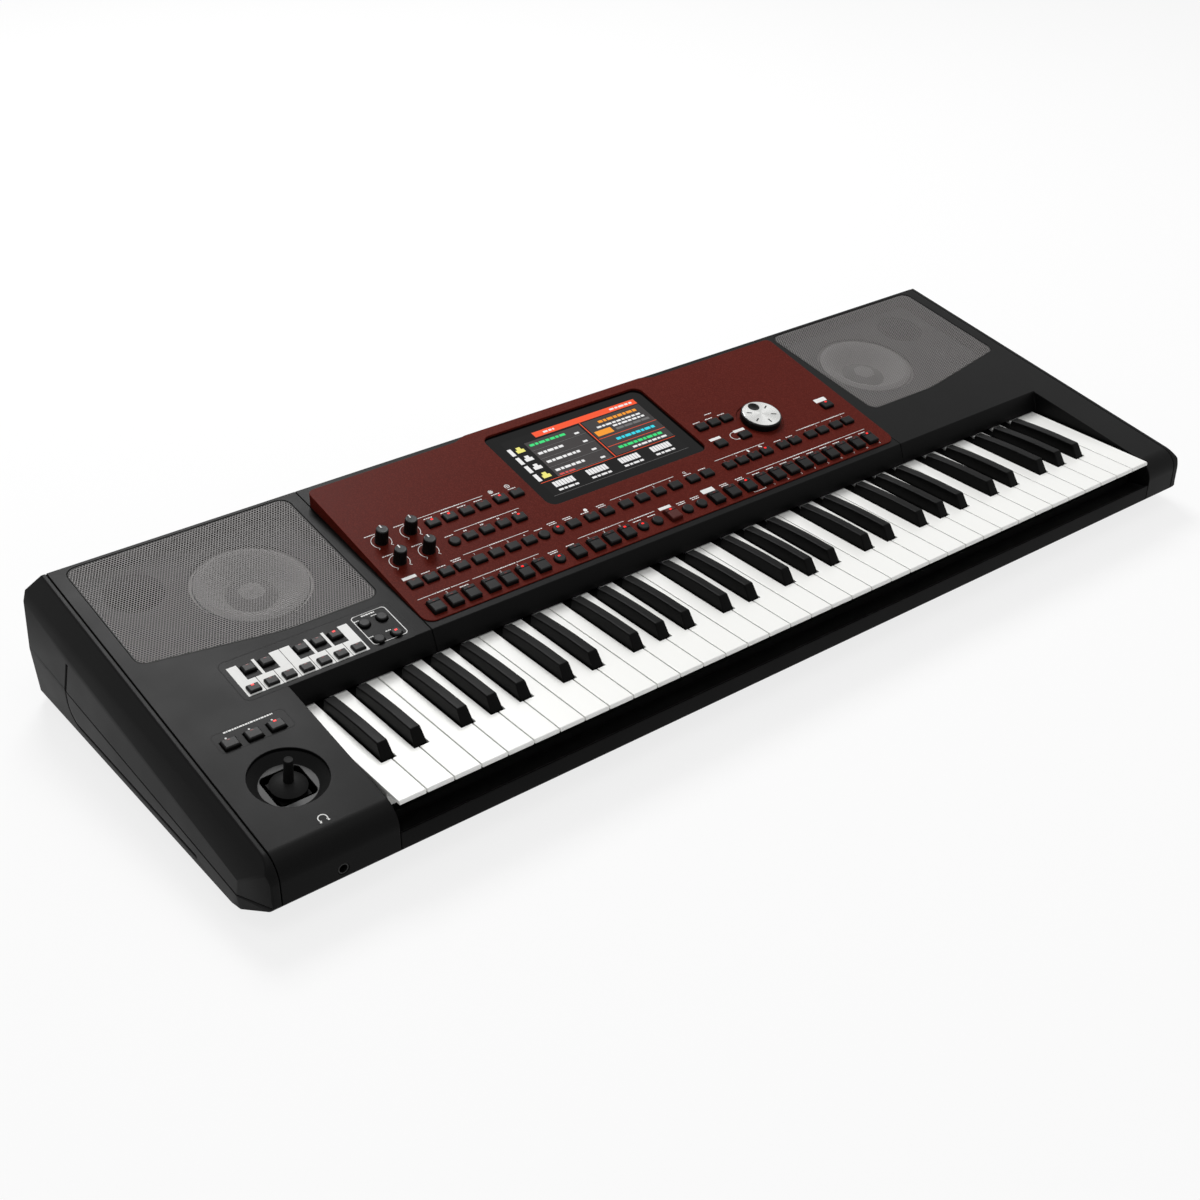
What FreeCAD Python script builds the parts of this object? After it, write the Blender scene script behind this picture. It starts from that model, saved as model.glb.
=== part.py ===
import FreeCAD, Part
import math
import os

# Arranger keyboard: a wedge-shaped case with speakers, a control panel and 61 hinged keys.
# Millimetres and degrees. X runs right, Y runs back, Z runs up.
# The origin is on the floor, below the middle of the case.

# Shared fits
overrun = 2.0
fit_gap = 0.4
wall = 3.0

# Keyboard
white_count = 36
octave_whites = 7
key_pitch = 23.5
key_gap = 1.0
key_side_gap = 2.5
white_height = 15.0
lip_height = 4.2
lip_depth = 2.0
lip_round = 1.2
key_front_setback = 3.6
key_hinge_reach = 184.8
key_hinge_drop = 9.0
key_tail = 8.0
key_throat_reach = 126.0
key_throat_length = 18.0
key_dip_angle = 3.1
hinge_radius = 3.0
black_setback = 47.0
black_length = 82.0
black_rise = 11.4
black_rear_rise = 8.6
black_crown_rise = 11.2
black_nose = 7.0
black_width = 10.8
black_top_width = 8.8
black_slot_gap = 1.1
first_group_whites = 3
second_group_whites = 4
black_slot_share = 1.5
black_step_count = 2

# Case in plan, from the keyboard outwards
left_block_width = 118.0
right_block_width = 61.0
keyboard_depth = 148.6
panel_front_margin = 6.4
panel_depth = 180.5
rear_strip = 20.5
rear_inset = 22.0
front_bevel_width = 16.0
front_bevel_depth = 31.0
rear_bevel = 18.0

# Case in section
foot_height = 9.5
top_rear_height = 117.0
top_angle = 9.34
# Shares of the front face's height, from the floor and from the foot of that face
front_foot_share = 0.4106
front_round_share = 0.5515
front_toe = 3.5
front_toe_height = 4.0
front_ramp = 39.0
side_inset = 18.5
band_out = 15.0
band_drop = 23.0
rear_band_out = 18.0
seam_rear_share = 0.4615
seam_rear_setback = 20.0
seam_angle = 4.8
tray_taper = 3.5
cheek_width = 23.0
side_groove_width = 2.2
side_groove_depth = 1.4
side_groove_rise = 26.0
side_groove_lean = 14.0
side_groove_setback = 76.0
side_groove_front = 88.0
side_groove_lift = 8.0
side_groove_radius = 14.0

# Fallboard behind the keys
fallboard_rise = 19.888
fallboard_face_drop = 12.9
fallboard_face_reach = 5.1
fallboard_strip_reach = 1.2
fallboard_key_gap = 1.0

# Key slip below the key fronts
# Share of the height from the seam to the key tops
slip_share = 0.3728
slip_ledge = 21.0
slip_step = 1.6
slip_ledge_gap = 3.5

# Control panel
panel_width = 530.5
panel_shift = -4.25
panel_lip = 1.0
panel_angle = 12.82
panel_plate = 2.5
panel_skirt = 3.0
panel_front_radius = 10.0
panel_rear_radius = 6.0
panel_ledge = 4.0
tab_share = 0.38454
tab_depth = 4.5
tab_sweep = 12.0
panel_post_radius = 3.0
board_drop = 17.0
board_thickness = 1.6
board_margin = 14.0

# Display
display_share = 0.34119
display_depth = 107.0
display_rear_margin = 6.0
display_radius = 9.0
glass_thickness = 2.0
glass_overlap = 2.0
lcd_margin = 8.0
lcd_thickness = 6.0

# Buttons
button_small_depth = 8.5
button_small_height = 2.8
button_large_depth = 14.0
button_large_height = 3.8
button_round_radius = 5.0
button_round_height = 2.6
button_stem = 5.0
button_bevel = 0.8
button_groove_width = 0.8
button_groove_depth = 0.5
button_groove_setback = 4.2
# Pitches and widths as shares of the panel's width
button_width_share = 0.021866
wide_pitch_share = 0.032045
close_pitch_share = 0.028652
round_pitch_share = 0.03016
open_pitch_share = 0.035627
entry_pitch_share = 0.055608
# Rows as shares of the panel's depth, from its front edge
front_row_share = 0.068
third_row_share = 0.2355
second_row_share = 0.389
top_row_share = 0.541
# First button of each bank, as a share of the panel's width from its left edge
intro_share = 0.032
variation_share = 0.132
fill_share = 0.264
break_share = 0.299
ending_share = 0.336
synchro_share = 0.4337
start_share = 0.4965
reset_share = 0.529
scroll_share = 0.592
sound_set_share = 0.699
chord_share = 0.032
pad_share = 0.151
pad_stop_share = 0.276
record_share = 0.335
select_share = 0.372
part_share = 0.443
assign_key_share = 0.589
tempo_share = 0.672
split_share = 0.797
octave_share = 0.8645
transpose_share = 0.927
player_stop_share = 0.1406
player_share = 0.170
mode_share = 0.135
global_share = 0.266
entry_share = 0.6985
search_share = 0.955
# Buttons in each bank
single_count = 1
intro_count = 3
variation_count = 4
ending_count = 3
synchro_count = 2
reset_count = 2
scroll_count = 3
sound_set_count = 9
chord_count = 4
pad_count = 4
pad_stop_count = 2
select_count = 2
part_count = 4
assign_key_count = 2
tempo_count = 4
split_count = 2
octave_count = 2
transpose_count = 2
player_count = 4
mode_count = 4
global_count = 2
entry_count = 3
entry_key_count = 2

# Left cheek controls
scale_button_depth = 8.0
switch_depth = 9.4
scale_white_count = 7
scale_first_count = 2
scale_second_count = 3
preset_count = 2
switch_count = 3
# Pitches, sizes and places as shares of the left section's width
scale_pitch_share = 0.067416
scale_shift_share = 0.033258
scale_button_share = 0.044944
preset_pitch_share = 0.07191
preset_radius_share = 0.020674
scale_share = 0.322
preset_share = 0.811
# Rows as shares of the strip in front of the grille
scale_lower_share = 0.18
scale_upper_share = 0.56
# Pitch, width and places as shares of the left block's width and of the keyboard's depth
switch_pitch_share = 0.157627
switch_width_share = 0.101695
switch_share = 0.441
switch_row_share = 0.218
joystick_share = 0.598
joystick_row_share = 0.549
phones_share = 0.604

# Knobs and dial
knob_radius = 5.4
knob_base_radius = 5.8
knob_height = 13.4
knob_lift = 0.5
knob_shaft_radius = 3.0
knob_bevel = 0.7
knob_column_count = 2
knob_pitch_share = 0.053157
knob_share = 0.0396
knob_top_share = 0.5434
knob_bottom_share = 0.3933
dial_share = 0.8124
dial_row_share = 0.4592
# Share of the panel's width
dial_radius_share = 0.036946
dial_height = 6.6
dial_recess_gap = 3.4
dial_recess = 1.0
dial_rim = 1.4
dial_cap_thickness = 0.9
dial_dimple_depth = 0.6
# Shares of the dial cap's radius
dial_dimple_share = 0.25275
dial_dimple_place_share = 0.63187
dial_shaft_radius = 3.2

# Joystick
bowl_radius = 29.2
bowl_floor_radius = 21.6
bowl_depth = 9.0
bowl_lip = 2.0
bowl_sheet = 2.0
bowl_window = 32.0
bowl_window_radius = 5.0
stick_radius = 3.9
stick_rise = 17.0
stick_pivot_drop = 15.0
boot_width = 26.0
boot_radius = 7.0
boot_ball_radius = 16.0
boot_sheet = 2.4
boot_lift = 6.2
gimbal_width = 24.0
gimbal_window = 15.0
gimbal_height = 5.0
gimbal_pin_radius = 2.0
gimbal_pin_gap = 0.3
ear_width = 8.0
ear_thickness = 3.0

# Speakers
grille_inner_band = 11.5
grille_outer_band = 12.0
grille_front_margin = 56.5
grille_rear_margin = 3.6
grille_bend_rise = 20.0
grille_bend_radius = 120.0
grille_radius = 10.0
grille_thickness = 1.2
grille_sink = 0.4
grille_ledge = 3.5
baffle_depth = 14.0
baffle_sheet = 2.5
woofer_row = 135.6
woofer_land = 6.0
woofer_flange_sheet = 2.5
basket_depth = 26.0
basket_neck = 30.0
magnet_radius = 32.0
magnet_height = 16.0
cone_edge_gap = 0.6
cone_roll = 5.0
cone_roll_rise = 3.0
cone_depth = 12.0
cone_sheet = 1.2
cone_cap_radius = 21.0
cone_cap_rise = 6.0
port_angle = 158.0
port_land = 3.0
port_wall = 3.0
port_length = 38.0
# Shares of the grille's width, and that width as a share of its depth
grille_bend_share = 0.42714
woofer_inset_share = 0.36181
woofer_flange_share = 0.28141
port_flange_share = 0.13568
port_gap_share = 0.04523
speaker_span_share = 1.3259

# Keybed
keybed_sheet = 3.0
# Share of the height from the tray's floor to the front stop rail
keybed_share = 0.4441
keybed_end_gap = 0.6
keybed_front_setback = 19.0
keybed_rail_width = 6.0
keybed_rail_setback = 23.0
keybed_rear_reach = 14.0
contact_board_setback = 100.0
contact_board_depth = 46.0
contact_ridge_height = 6.0
contact_ridge_width = 8.0
rib_width = 4.0
rib_count = 6
rib_setback = 60.0

# Boards inside
boss_radius = 4.0
boss_height = 8.0
board_corner = 8.0
main_board_width = 220.0
main_board_depth = 84.0
main_board_x = -120.0
main_board_y = 112.0
chip_width = 22.0
chip_height = 3.0
supply_width = 110.0
supply_depth = 74.0
supply_x = 110.0
supply_y = 112.0
transformer_width = 42.0
transformer_depth = 34.0
transformer_height = 28.0

# Rear jack bay
bay_width = 470.0
bay_shift = -10.0
bay_lift = 4.5
bay_height = 28.0
bay_frame = 3.0
bay_depth = 9.0
bay_sheet = 2.0
jack_radius = 3.25
jack_bush_radius = 5.2
jack_bush_length = 2.5
jack_body_width = 15.0
jack_body_depth = 22.0
jack_bore_depth = 24.0
jack_count = 5
jack_pitch = 24.0
din_count = 2
din_pitch = 26.0
din_radius = 9.0
din_bore = 7.5
din_depth = 12.0
din_bore_depth = 9.0
usb_device_width = 12.0
usb_device_height = 11.0
usb_host_width = 15.2
usb_host_height = 7.6
usb_sheet = 1.2
usb_depth = 16.0
inlet_width = 28.0
inlet_height = 20.0
inlet_sheet = 1.8
inlet_depth = 20.0
inlet_cavity = 16.0
inlet_pin_width = 2.0
inlet_pin_height = 4.0
inlet_pin_length = 10.5
inlet_pin_pitch = 7.0
rocker_width = 19.0
rocker_height = 13.0
rocker_depth = 7.0
rocker_bow = 1.6
rocker_angle = 8.0
rocker_frame = 2.0
rocker_frame_depth = 12.0
rocker_gap = 1.2
rocker_pin_radius = 1.5
# Sockets as shares of the bay's width from its left end
jack_share = 0.085
din_share = 0.372
usb_device_share = 0.504
usb_host_share = 0.555
rocker_share = 0.811
inlet_share = 0.904

# Headphone jack
# Share of the front face's height above the seam
phones_rise_share = 0.2028
phones_hole_radius = 4.6
phones_bush_radius = 4.2
phones_body_width = 14.0
phones_body_depth = 18.0

# Feet and screws
foot_radius = 12.0
foot_taper = 1.5
foot_side_inset = 75.0
foot_front_inset = 61.0
foot_rear_inset = 39.0
screw_shank_radius = 1.6
screw_head_radius = 3.6
screw_head_height = 2.0
# Shares of the height from the case's underside to the keybed
screw_share = 0.6207
pillar_share = 0.8276
screw_columns = 6
screw_side_inset = 45.0
screw_front_inset = 109.0
screw_rear_inset = 23.0


def vec(x, y, z):
    return FreeCAD.Vector(x, y, z)


# Sizes that follow from the driving ones
keyboard_width = white_count * key_pitch
body_width = left_block_width + keyboard_width + 2 * key_side_gap + right_block_width
body_depth = keyboard_depth + panel_front_margin + panel_depth + rear_strip + rear_inset
half_width = body_width / 2
front_y = -body_depth / 2
rear_y = body_depth / 2
well_left = left_block_width - half_width
well_right = half_width - right_block_width
keys_left = well_left + key_side_gap
key_front = front_y + key_front_setback
hinge_y = key_front + key_hinge_reach
fallboard_y = front_y + keyboard_depth
top_rear_y = rear_y - rear_inset
top_slope = math.tan(math.radians(top_angle))
seam_slope = math.tan(math.radians(seam_angle))
white_top = top_rear_height - (top_rear_y - fallboard_y) * top_slope - fallboard_rise
hinge_z = white_top - key_hinge_drop
front_top_height = top_rear_height - (top_rear_y - front_y) * top_slope
front_foot_height = front_foot_share * front_top_height
front_round = front_round_share * (front_top_height - front_foot_height)
seam_rear_height = seam_rear_share * top_rear_height
panel_left = panel_shift - panel_width / 2
panel_right = panel_shift + panel_width / 2
panel_front_y = fallboard_y + panel_front_margin
panel_run = panel_depth / math.cos(math.radians(panel_angle))
cheek_seam = half_width - cheek_width
body_top = top_rear_height + panel_depth
floor_top = foot_height + wall
left_section = panel_left + cheek_seam
display_width = display_share * panel_width
tab_width = tab_share * panel_width
button_small_width = button_width_share * panel_width
wide_pitch = wide_pitch_share * panel_width
close_pitch = close_pitch_share * panel_width
round_pitch = round_pitch_share * panel_width
open_pitch = open_pitch_share * panel_width
entry_pitch = entry_pitch_share * panel_width
knob_pitch = knob_pitch_share * panel_width
dial_radius = dial_radius_share * panel_width
dial_cap_radius = dial_radius - dial_rim
scale_pitch = scale_pitch_share * left_section
scale_button_width = scale_button_share * left_section
preset_pitch = preset_pitch_share * left_section
preset_radius = preset_radius_share * left_section
switch_pitch = switch_pitch_share * left_block_width
switch_width = switch_width_share * left_block_width
grille_inner = panel_width / 2 - panel_shift + grille_inner_band
grille_outer = cheek_seam - grille_outer_band
grille_width = grille_outer - grille_inner
grille_front = grille_front_margin
grille_rear = (top_rear_y - fallboard_y) / math.cos(math.radians(top_angle)) - grille_rear_margin
speaker_span = min(grille_width, speaker_span_share * (grille_rear - grille_front))
woofer_flange = woofer_flange_share * speaker_span
woofer_hole = woofer_flange - woofer_land
port_flange = port_flange_share * speaker_span
port_hole = port_flange - port_land
port_bore = port_hole - port_wall
front_row = front_row_share * panel_run
third_row = third_row_share * panel_run
second_row = second_row_share * panel_run
top_row = top_row_share * panel_run
scale_lower_row = scale_lower_share * grille_front_margin
scale_upper_row = scale_upper_share * grille_front_margin
joystick_x = joystick_share * left_block_width - half_width
joystick_row = -joystick_row_share * keyboard_depth
dial_x = panel_left + dial_share * panel_width
dial_row = dial_row_share * panel_run
bay_left = bay_shift - bay_width / 2
bay_right = bay_shift + bay_width / 2
bay_low = floor_top + bay_lift
bay_high = bay_low + bay_height
bay_middle = (bay_low + bay_high) / 2
bay_face_y = rear_y - bay_depth
bay_plate_y = bay_face_y - bay_sheet


def top_height(y):
    """Height of the black top at a depth."""
    return top_rear_height - (top_rear_y - y) * top_slope


def seam_height(y):
    """Height of the seam between the tray and the upper case."""
    return seam_rear_height - (rear_y - seam_rear_setback - y) * seam_slope


def pressed_height(y):
    """Height of a white key's underside at a depth, with the key fully down."""
    dip = math.radians(key_dip_angle)
    under = key_hinge_drop - white_height
    return hinge_z - (hinge_y - y) * math.sin(dip) + under * math.cos(dip)


slip_low = seam_height(front_y) + fit_gap
slip_height = seam_height(front_y) + slip_share * (white_top - seam_height(front_y))
stop_rail_top = pressed_height(front_y + keybed_rail_setback) - fit_gap
keybed_height = floor_top + keybed_share * (stop_rail_top - floor_top)
screw_length = screw_share * (keybed_height - foot_height)
pillar_height = pillar_share * (keybed_height - foot_height)


def panel_x(share):
    """Place across the panel."""
    return panel_left + share * panel_width


def cheek_x(share):
    """Place across the left top section."""
    return share * left_section - cheek_seam


def bay_x(share):
    """Place along the jack bay."""
    return bay_left + share * bay_width


def tilted_frame(y, z, angle):
    """Frame whose XY plane slopes up to the rear."""
    return FreeCAD.Placement(vec(0, y, z), FreeCAD.Rotation(vec(1, 0, 0), angle))


top_frame = tilted_frame(fallboard_y, top_height(fallboard_y), top_angle)
panel_frame = tilted_frame(panel_front_y, top_height(panel_front_y) + panel_lip, panel_angle)


def placed(shape, frame):
    """The shape moved from a sloping frame into the case's frame."""
    return shape.transformed(frame.toMatrix())


def rounded_wire(points, radii):
    """Closed wire through flat points, each corner rounded to its radius."""
    count = len(points)
    stops = []
    edges = []
    for index, (corner, radius) in enumerate(zip(points, radii)):
        if radius == 0:
            stops.append((corner, corner))
            continue
        back = (points[index - 1] - corner).normalize()
        ahead = (points[(index + 1) % count] - corner).normalize()
        half = back.getAngle(ahead) / 2
        reach = radius / math.tan(half)
        middle = corner + (back + ahead).normalize() * (radius / math.sin(half) - radius)
        start = corner + back * reach
        end = corner + ahead * reach
        stops.append((start, end))
        edges.append(Part.Arc(start, middle, end).toShape())
    for index, (start, end) in enumerate(stops):
        following = stops[(index + 1) % count][0]
        if not end.isEqual(following, fit_gap / 100):
            edges.append(Part.LineSegment(end, following).toShape())
    return Part.Wire(Part.__sortEdges__(edges))


def rounded_face(points, radii):
    return Part.Face(rounded_wire(points, radii))


def sharp_face(points):
    return Part.Face(Part.makePolygon(points + points[:1]))


def grown_face(face, distance):
    """The face with its outline moved outwards, or inwards for a negative distance."""
    if distance == 0:
        return face
    return face.makeOffset2D(distance, 2)


def block(low, high):
    """Box between two corners."""
    size = high - low
    return Part.makeBox(size.x, size.y, size.z, low)


def centred_block(width, depth, low, high, x, y):
    """Box centred on a place, between two heights."""
    return block(vec(x - width / 2, y - depth / 2, low), vec(x + width / 2, y + depth / 2, high))


def rounded_square(width, radius, low, high, x, y):
    """Square column with rounded corners."""
    half = width / 2
    corners = [(x - half, y - half), (x + half, y - half), (x + half, y + half), (x - half, y + half)]
    face = rounded_face([vec(u, v, low) for u, v in corners], [radius] * 4)
    return face.extrude(vec(0, 0, high - low))


def upright(radius, low, high, x, y):
    """Cylinder along Z."""
    return Part.makeCylinder(radius, high - low, vec(x, y, low))


def along_y(radius, low, high, x, z):
    """Cylinder along Y."""
    return Part.makeCylinder(radius, high - low, vec(x, low, z), vec(0, 1, 0))


def across(points, left, right):
    """Prism of a side profile, run from left to right."""
    profile = sharp_face([vec(left, y, z) for y, z in points])
    return profile.extrude(vec(right - left, 0, 0))


def spun(points, x, y):
    """Turned piece from its half section of radius and height."""
    profile = sharp_face([vec(radius, 0, height) for radius, height in points])
    turned = profile.revolve(vec(0, 0, 0), vec(0, 0, 1), 360)
    return turned.translated(vec(x, y, 0))


def joined(shapes):
    """One solid from shapes that meet."""
    return shapes[0].fuse(shapes[1:]).removeSplitter()


def group(shapes):
    """Separate solids kept together in one node."""
    return Part.makeCompound(shapes)


phones_x = phones_share * left_block_width - half_width
phones_height = seam_height(front_y) + phones_rise_share * (front_top_height - seam_height(front_y))


# Case shells

def side_profile():
    """The case seen from its left side."""
    points = [
        (rear_y - tray_taper, foot_height),
        (rear_y, seam_rear_height),
        (top_rear_y + rear_band_out, top_rear_height - band_drop),
        (top_rear_y, top_rear_height),
        (front_y, top_height(front_y)),
        (front_y, front_foot_height),
        (front_y + front_toe, front_foot_height - front_toe_height),
        (front_y + front_ramp, foot_height),
    ]
    radii = [0, 0, 0, 0, front_round, 0, 0, 0]
    return rounded_face([vec(-half_width - overrun, y, z) for y, z in points], radii)


def band_section():
    """Cross-section of the upper case: flat top and a sloping band down each side."""
    edge = half_width - side_inset
    band_foot = top_rear_height - band_drop
    points = [
        (-edge, top_rear_height),
        (edge, top_rear_height),
        (edge + band_out, band_foot),
        (half_width, seam_rear_height),
        (half_width, -body_top),
        (-half_width, -body_top),
        (-half_width, seam_rear_height),
        (-edge - band_out, band_foot),
    ]
    return sharp_face([vec(x, top_rear_y, z) for x, z in points])


def tray_section():
    """Cross-section that draws the tray in towards the floor."""
    points = [
        (-half_width, 2 * body_top),
        (half_width, 2 * body_top),
        (half_width, seam_rear_height),
        (half_width - tray_taper, foot_height),
        (half_width - tray_taper, -body_top),
        (tray_taper - half_width, -body_top),
        (tray_taper - half_width, foot_height),
        (-half_width, seam_rear_height),
    ]
    return sharp_face([vec(x, front_y - overrun, z) for x, z in points])


def plan_outline():
    """The case seen from above, with bevelled corners."""
    points = [
        (front_bevel_width - half_width, front_y),
        (half_width - front_bevel_width, front_y),
        (half_width, front_y + front_bevel_depth),
        (half_width, rear_y - rear_bevel),
        (half_width - rear_bevel, rear_y),
        (rear_bevel - half_width, rear_y),
        (-half_width, rear_y - rear_bevel),
        (-half_width, front_y + front_bevel_depth),
    ]
    return sharp_face([vec(x, y, -body_top) for x, y in points])


def envelope(inset):
    """The closed outer form of the case, or its inside at a wall's depth."""
    run = body_depth + 2 * overrun
    side = grown_face(side_profile(), -inset).extrude(vec(body_width + 2 * overrun, 0, 0))
    band = grown_face(band_section(), -inset)
    band = band.translated(vec(0, run, run * top_slope)).extrude(vec(0, -2 * run, -2 * run * top_slope))
    tray = grown_face(tray_section(), -inset).extrude(vec(0, run, 0))
    plan = grown_face(plan_outline(), -inset).extrude(vec(0, 0, 3 * body_top))
    return side.common(band).common(tray).common(plan)


outer_form = envelope(0)
inner_form = envelope(wall)
shell = outer_form.cut(inner_form)


def slab(left, right):
    """Everything between two side planes."""
    return block(vec(left, 2 * front_y, -body_top), vec(right, 2 * rear_y, body_top))


def below_seam():
    """Everything under the seam."""
    points = [
        (2 * front_y, seam_height(2 * front_y)),
        (2 * rear_y, seam_height(2 * rear_y)),
        (2 * rear_y, -body_top),
        (2 * front_y, -body_top),
    ]
    return across(points, -body_width, body_width)


def fallboard_points():
    """Front face of the fallboard, from its top edge down to the keys."""
    top = top_height(fallboard_y)
    return [
        (fallboard_y, top),
        (fallboard_y - fallboard_face_reach, top - fallboard_face_drop),
        (fallboard_y - fallboard_face_reach - fallboard_strip_reach, white_top + fallboard_key_gap),
    ]


def fallboard_wall():
    """The fallboard's sheet, right across the key well."""
    face = fallboard_points()
    back = [(y + wall, z) for y, z in reversed(face)]
    return across(face + back, well_left - wall, well_right + wall)


def key_well():
    """The open space above and in front of the keys."""
    face = fallboard_points()
    points = face + [
        (face[-1][0], -body_top),
        (2 * front_y, -body_top),
        (2 * front_y, body_top),
        (fallboard_y, body_top),
    ]
    return across(points, well_left, well_right)


def well_walls():
    """Inner walls of the cheeks beside the keys."""
    rear = hinge_y + keybed_rear_reach
    left = block(vec(well_left - wall, front_y, 0), vec(well_left, rear, body_top))
    right = block(vec(well_right, front_y, 0), vec(well_right + wall, rear, body_top))
    return left.fuse(right).common(outer_form)


upper_form = shell.fuse([well_walls(), fallboard_wall().common(outer_form)])
upper_form = upper_form.cut(below_seam()).cut(key_well())


def upper_section(left, right):
    """The part of the upper case between two seams."""
    return upper_form.common(slab(left + fit_gap / 2, right - fit_gap / 2))


# Speaker grilles and their baffles

def grille_face(side, height, grow):
    """Outline of a grille on the sloping top, its front edge bent towards the outer end."""
    points = [
        (grille_inner, grille_front),
        (grille_inner + grille_bend_share * grille_width, grille_front),
        (grille_outer, grille_front + grille_bend_rise),
        (grille_outer, grille_rear),
        (grille_inner, grille_rear),
    ]
    radii = [grille_radius, grille_bend_radius, grille_radius, grille_radius, grille_radius]
    face = rounded_face([vec(side * x, y, height) for x, y in points], radii)
    return grown_face(face, grow)


def grille(side):
    """Perforated sheet lying in its recess."""
    sheet = grille_face(side, -grille_sink - grille_thickness, -fit_gap)
    return placed(sheet.extrude(vec(0, 0, grille_thickness)), top_frame)


def woofer_place(side):
    """Centre of a woofer in the top's frame."""
    return side * (grille_inner + woofer_inset_share * speaker_span), woofer_row


def port_place(side):
    """Centre of a bass port in the top's frame, beside its woofer."""
    x, row = woofer_place(side)
    reach = woofer_flange + port_flange + port_gap_share * speaker_span
    turn = math.radians(port_angle)
    return x - side * reach * math.cos(turn), row + reach * math.sin(turn)


def speaker_bay(side):
    """Tray below a grille whose floor is the baffle."""
    low = -baffle_depth - baffle_sheet
    tray = grille_face(side, low, baffle_sheet - grille_ledge).extrude(vec(0, 0, -low - wall))
    hollow = grille_face(side, -baffle_depth, -grille_ledge).extrude(vec(0, 0, baffle_depth))
    x, row = woofer_place(side)
    tray = tray.cut(hollow).cut(upright(woofer_hole, low - overrun, 0, x, row))
    x, row = port_place(side)
    return tray.cut(upright(port_hole, low - overrun, 0, x, row))


def grille_recess(side):
    """Seat of a grille and the opening under it."""
    seat = grille_face(side, -grille_sink - grille_thickness, 0).extrude(vec(0, 0, wall))
    opening = grille_face(side, -wall - overrun, -grille_ledge).extrude(vec(0, 0, wall + overrun))
    return seat.fuse(opening)


def with_speaker(section, side):
    """A top section with its grille seat and baffle."""
    section = section.cut(placed(grille_recess(side), top_frame))
    return joined([section, placed(speaker_bay(side), top_frame)])


def woofer_frame(side):
    """Flange, basket and magnet behind the baffle."""
    x, row = woofer_place(side)
    top = -baffle_depth - baffle_sheet
    flange_low = top - woofer_flange_sheet
    neck = flange_low - basket_depth
    low = neck - magnet_height
    rim = woofer_hole - woofer_flange_sheet
    points = [
        (rim, top),
        (woofer_flange, top),
        (woofer_flange, flange_low),
        (woofer_hole, flange_low),
        (basket_neck, neck),
        (magnet_radius, neck),
        (magnet_radius, low),
        (0, low),
        (0, neck),
        (basket_neck - woofer_flange_sheet, neck),
        (rim, flange_low),
    ]
    return placed(spun(points, x, row), top_frame)


def woofer_cone(side):
    """Rolled edge, cone and dust cap, in front of the baffle's hole."""
    x, row = woofer_place(side)
    edge = woofer_hole - woofer_flange_sheet - cone_edge_gap
    base = -baffle_depth - baffle_sheet
    roll = edge - cone_roll
    floor = base - cone_depth
    cap = cone_cap_radius
    points = [
        (edge, base),
        (edge, base + cone_sheet),
        (roll, base + cone_roll_rise),
        (roll - cone_roll, base + cone_sheet),
        (cap, floor + cone_sheet),
        (cap / 2, floor + cone_cap_rise),
        (0, floor + cone_cap_rise + cone_sheet),
        (0, floor),
        (cap, floor),
        (roll - cone_roll, base),
    ]
    return placed(spun(points, x, row), top_frame)


def port_tube(side):
    """Flanged bass port tube under the baffle."""
    x, row = port_place(side)
    top = -baffle_depth - baffle_sheet
    points = [
        (port_bore, top),
        (port_flange, top),
        (port_flange, top - baffle_sheet),
        (port_hole, top - baffle_sheet),
        (port_hole, top - port_length),
        (port_bore, top - port_length),
    ]
    return placed(spun(points, x, row), top_frame)


# Buttons

def keycap(width, depth, height, x, row):
    """Button with a bevelled top edge, its stem reaching through the panel."""
    body = centred_block(width, depth, -button_stem, height, x, row)
    rim = [edge for edge in body.Edges if edge.BoundBox.ZMin > height - button_bevel]
    return body.makeChamfer(button_bevel, rim)


def small_button(x, row):
    return keycap(button_small_width, button_small_depth, button_small_height, x, row)


def large_button(x, row):
    """Tall button whose lamp window is set off by a groove."""
    cap = keycap(button_small_width, button_large_depth, button_large_height, x, row)
    groove_row = row + button_large_depth / 2 - button_groove_setback
    low = button_large_height - button_groove_depth
    width = button_small_width + 2 * overrun
    return cap.cut(centred_block(width, button_groove_width, low, low + overrun, x, groove_row))


def round_cap(radius, height, x, row):
    """Round button with a bevelled top edge."""
    points = [
        (0, -button_stem),
        (radius, -button_stem),
        (radius, height - button_bevel),
        (radius - button_bevel, height),
        (0, height),
    ]
    return spun(points, x, row)


def round_button(x, row):
    return round_cap(button_round_radius, button_round_height, x, row)


def scale_button(x, row):
    return keycap(scale_button_width, scale_button_depth, button_small_height, x, row)


def preset_button(x, row):
    return round_cap(preset_radius, button_round_height, x, row)


def assign_switch(x, row):
    return keycap(switch_width, switch_depth, button_small_height, x, row)


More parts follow.
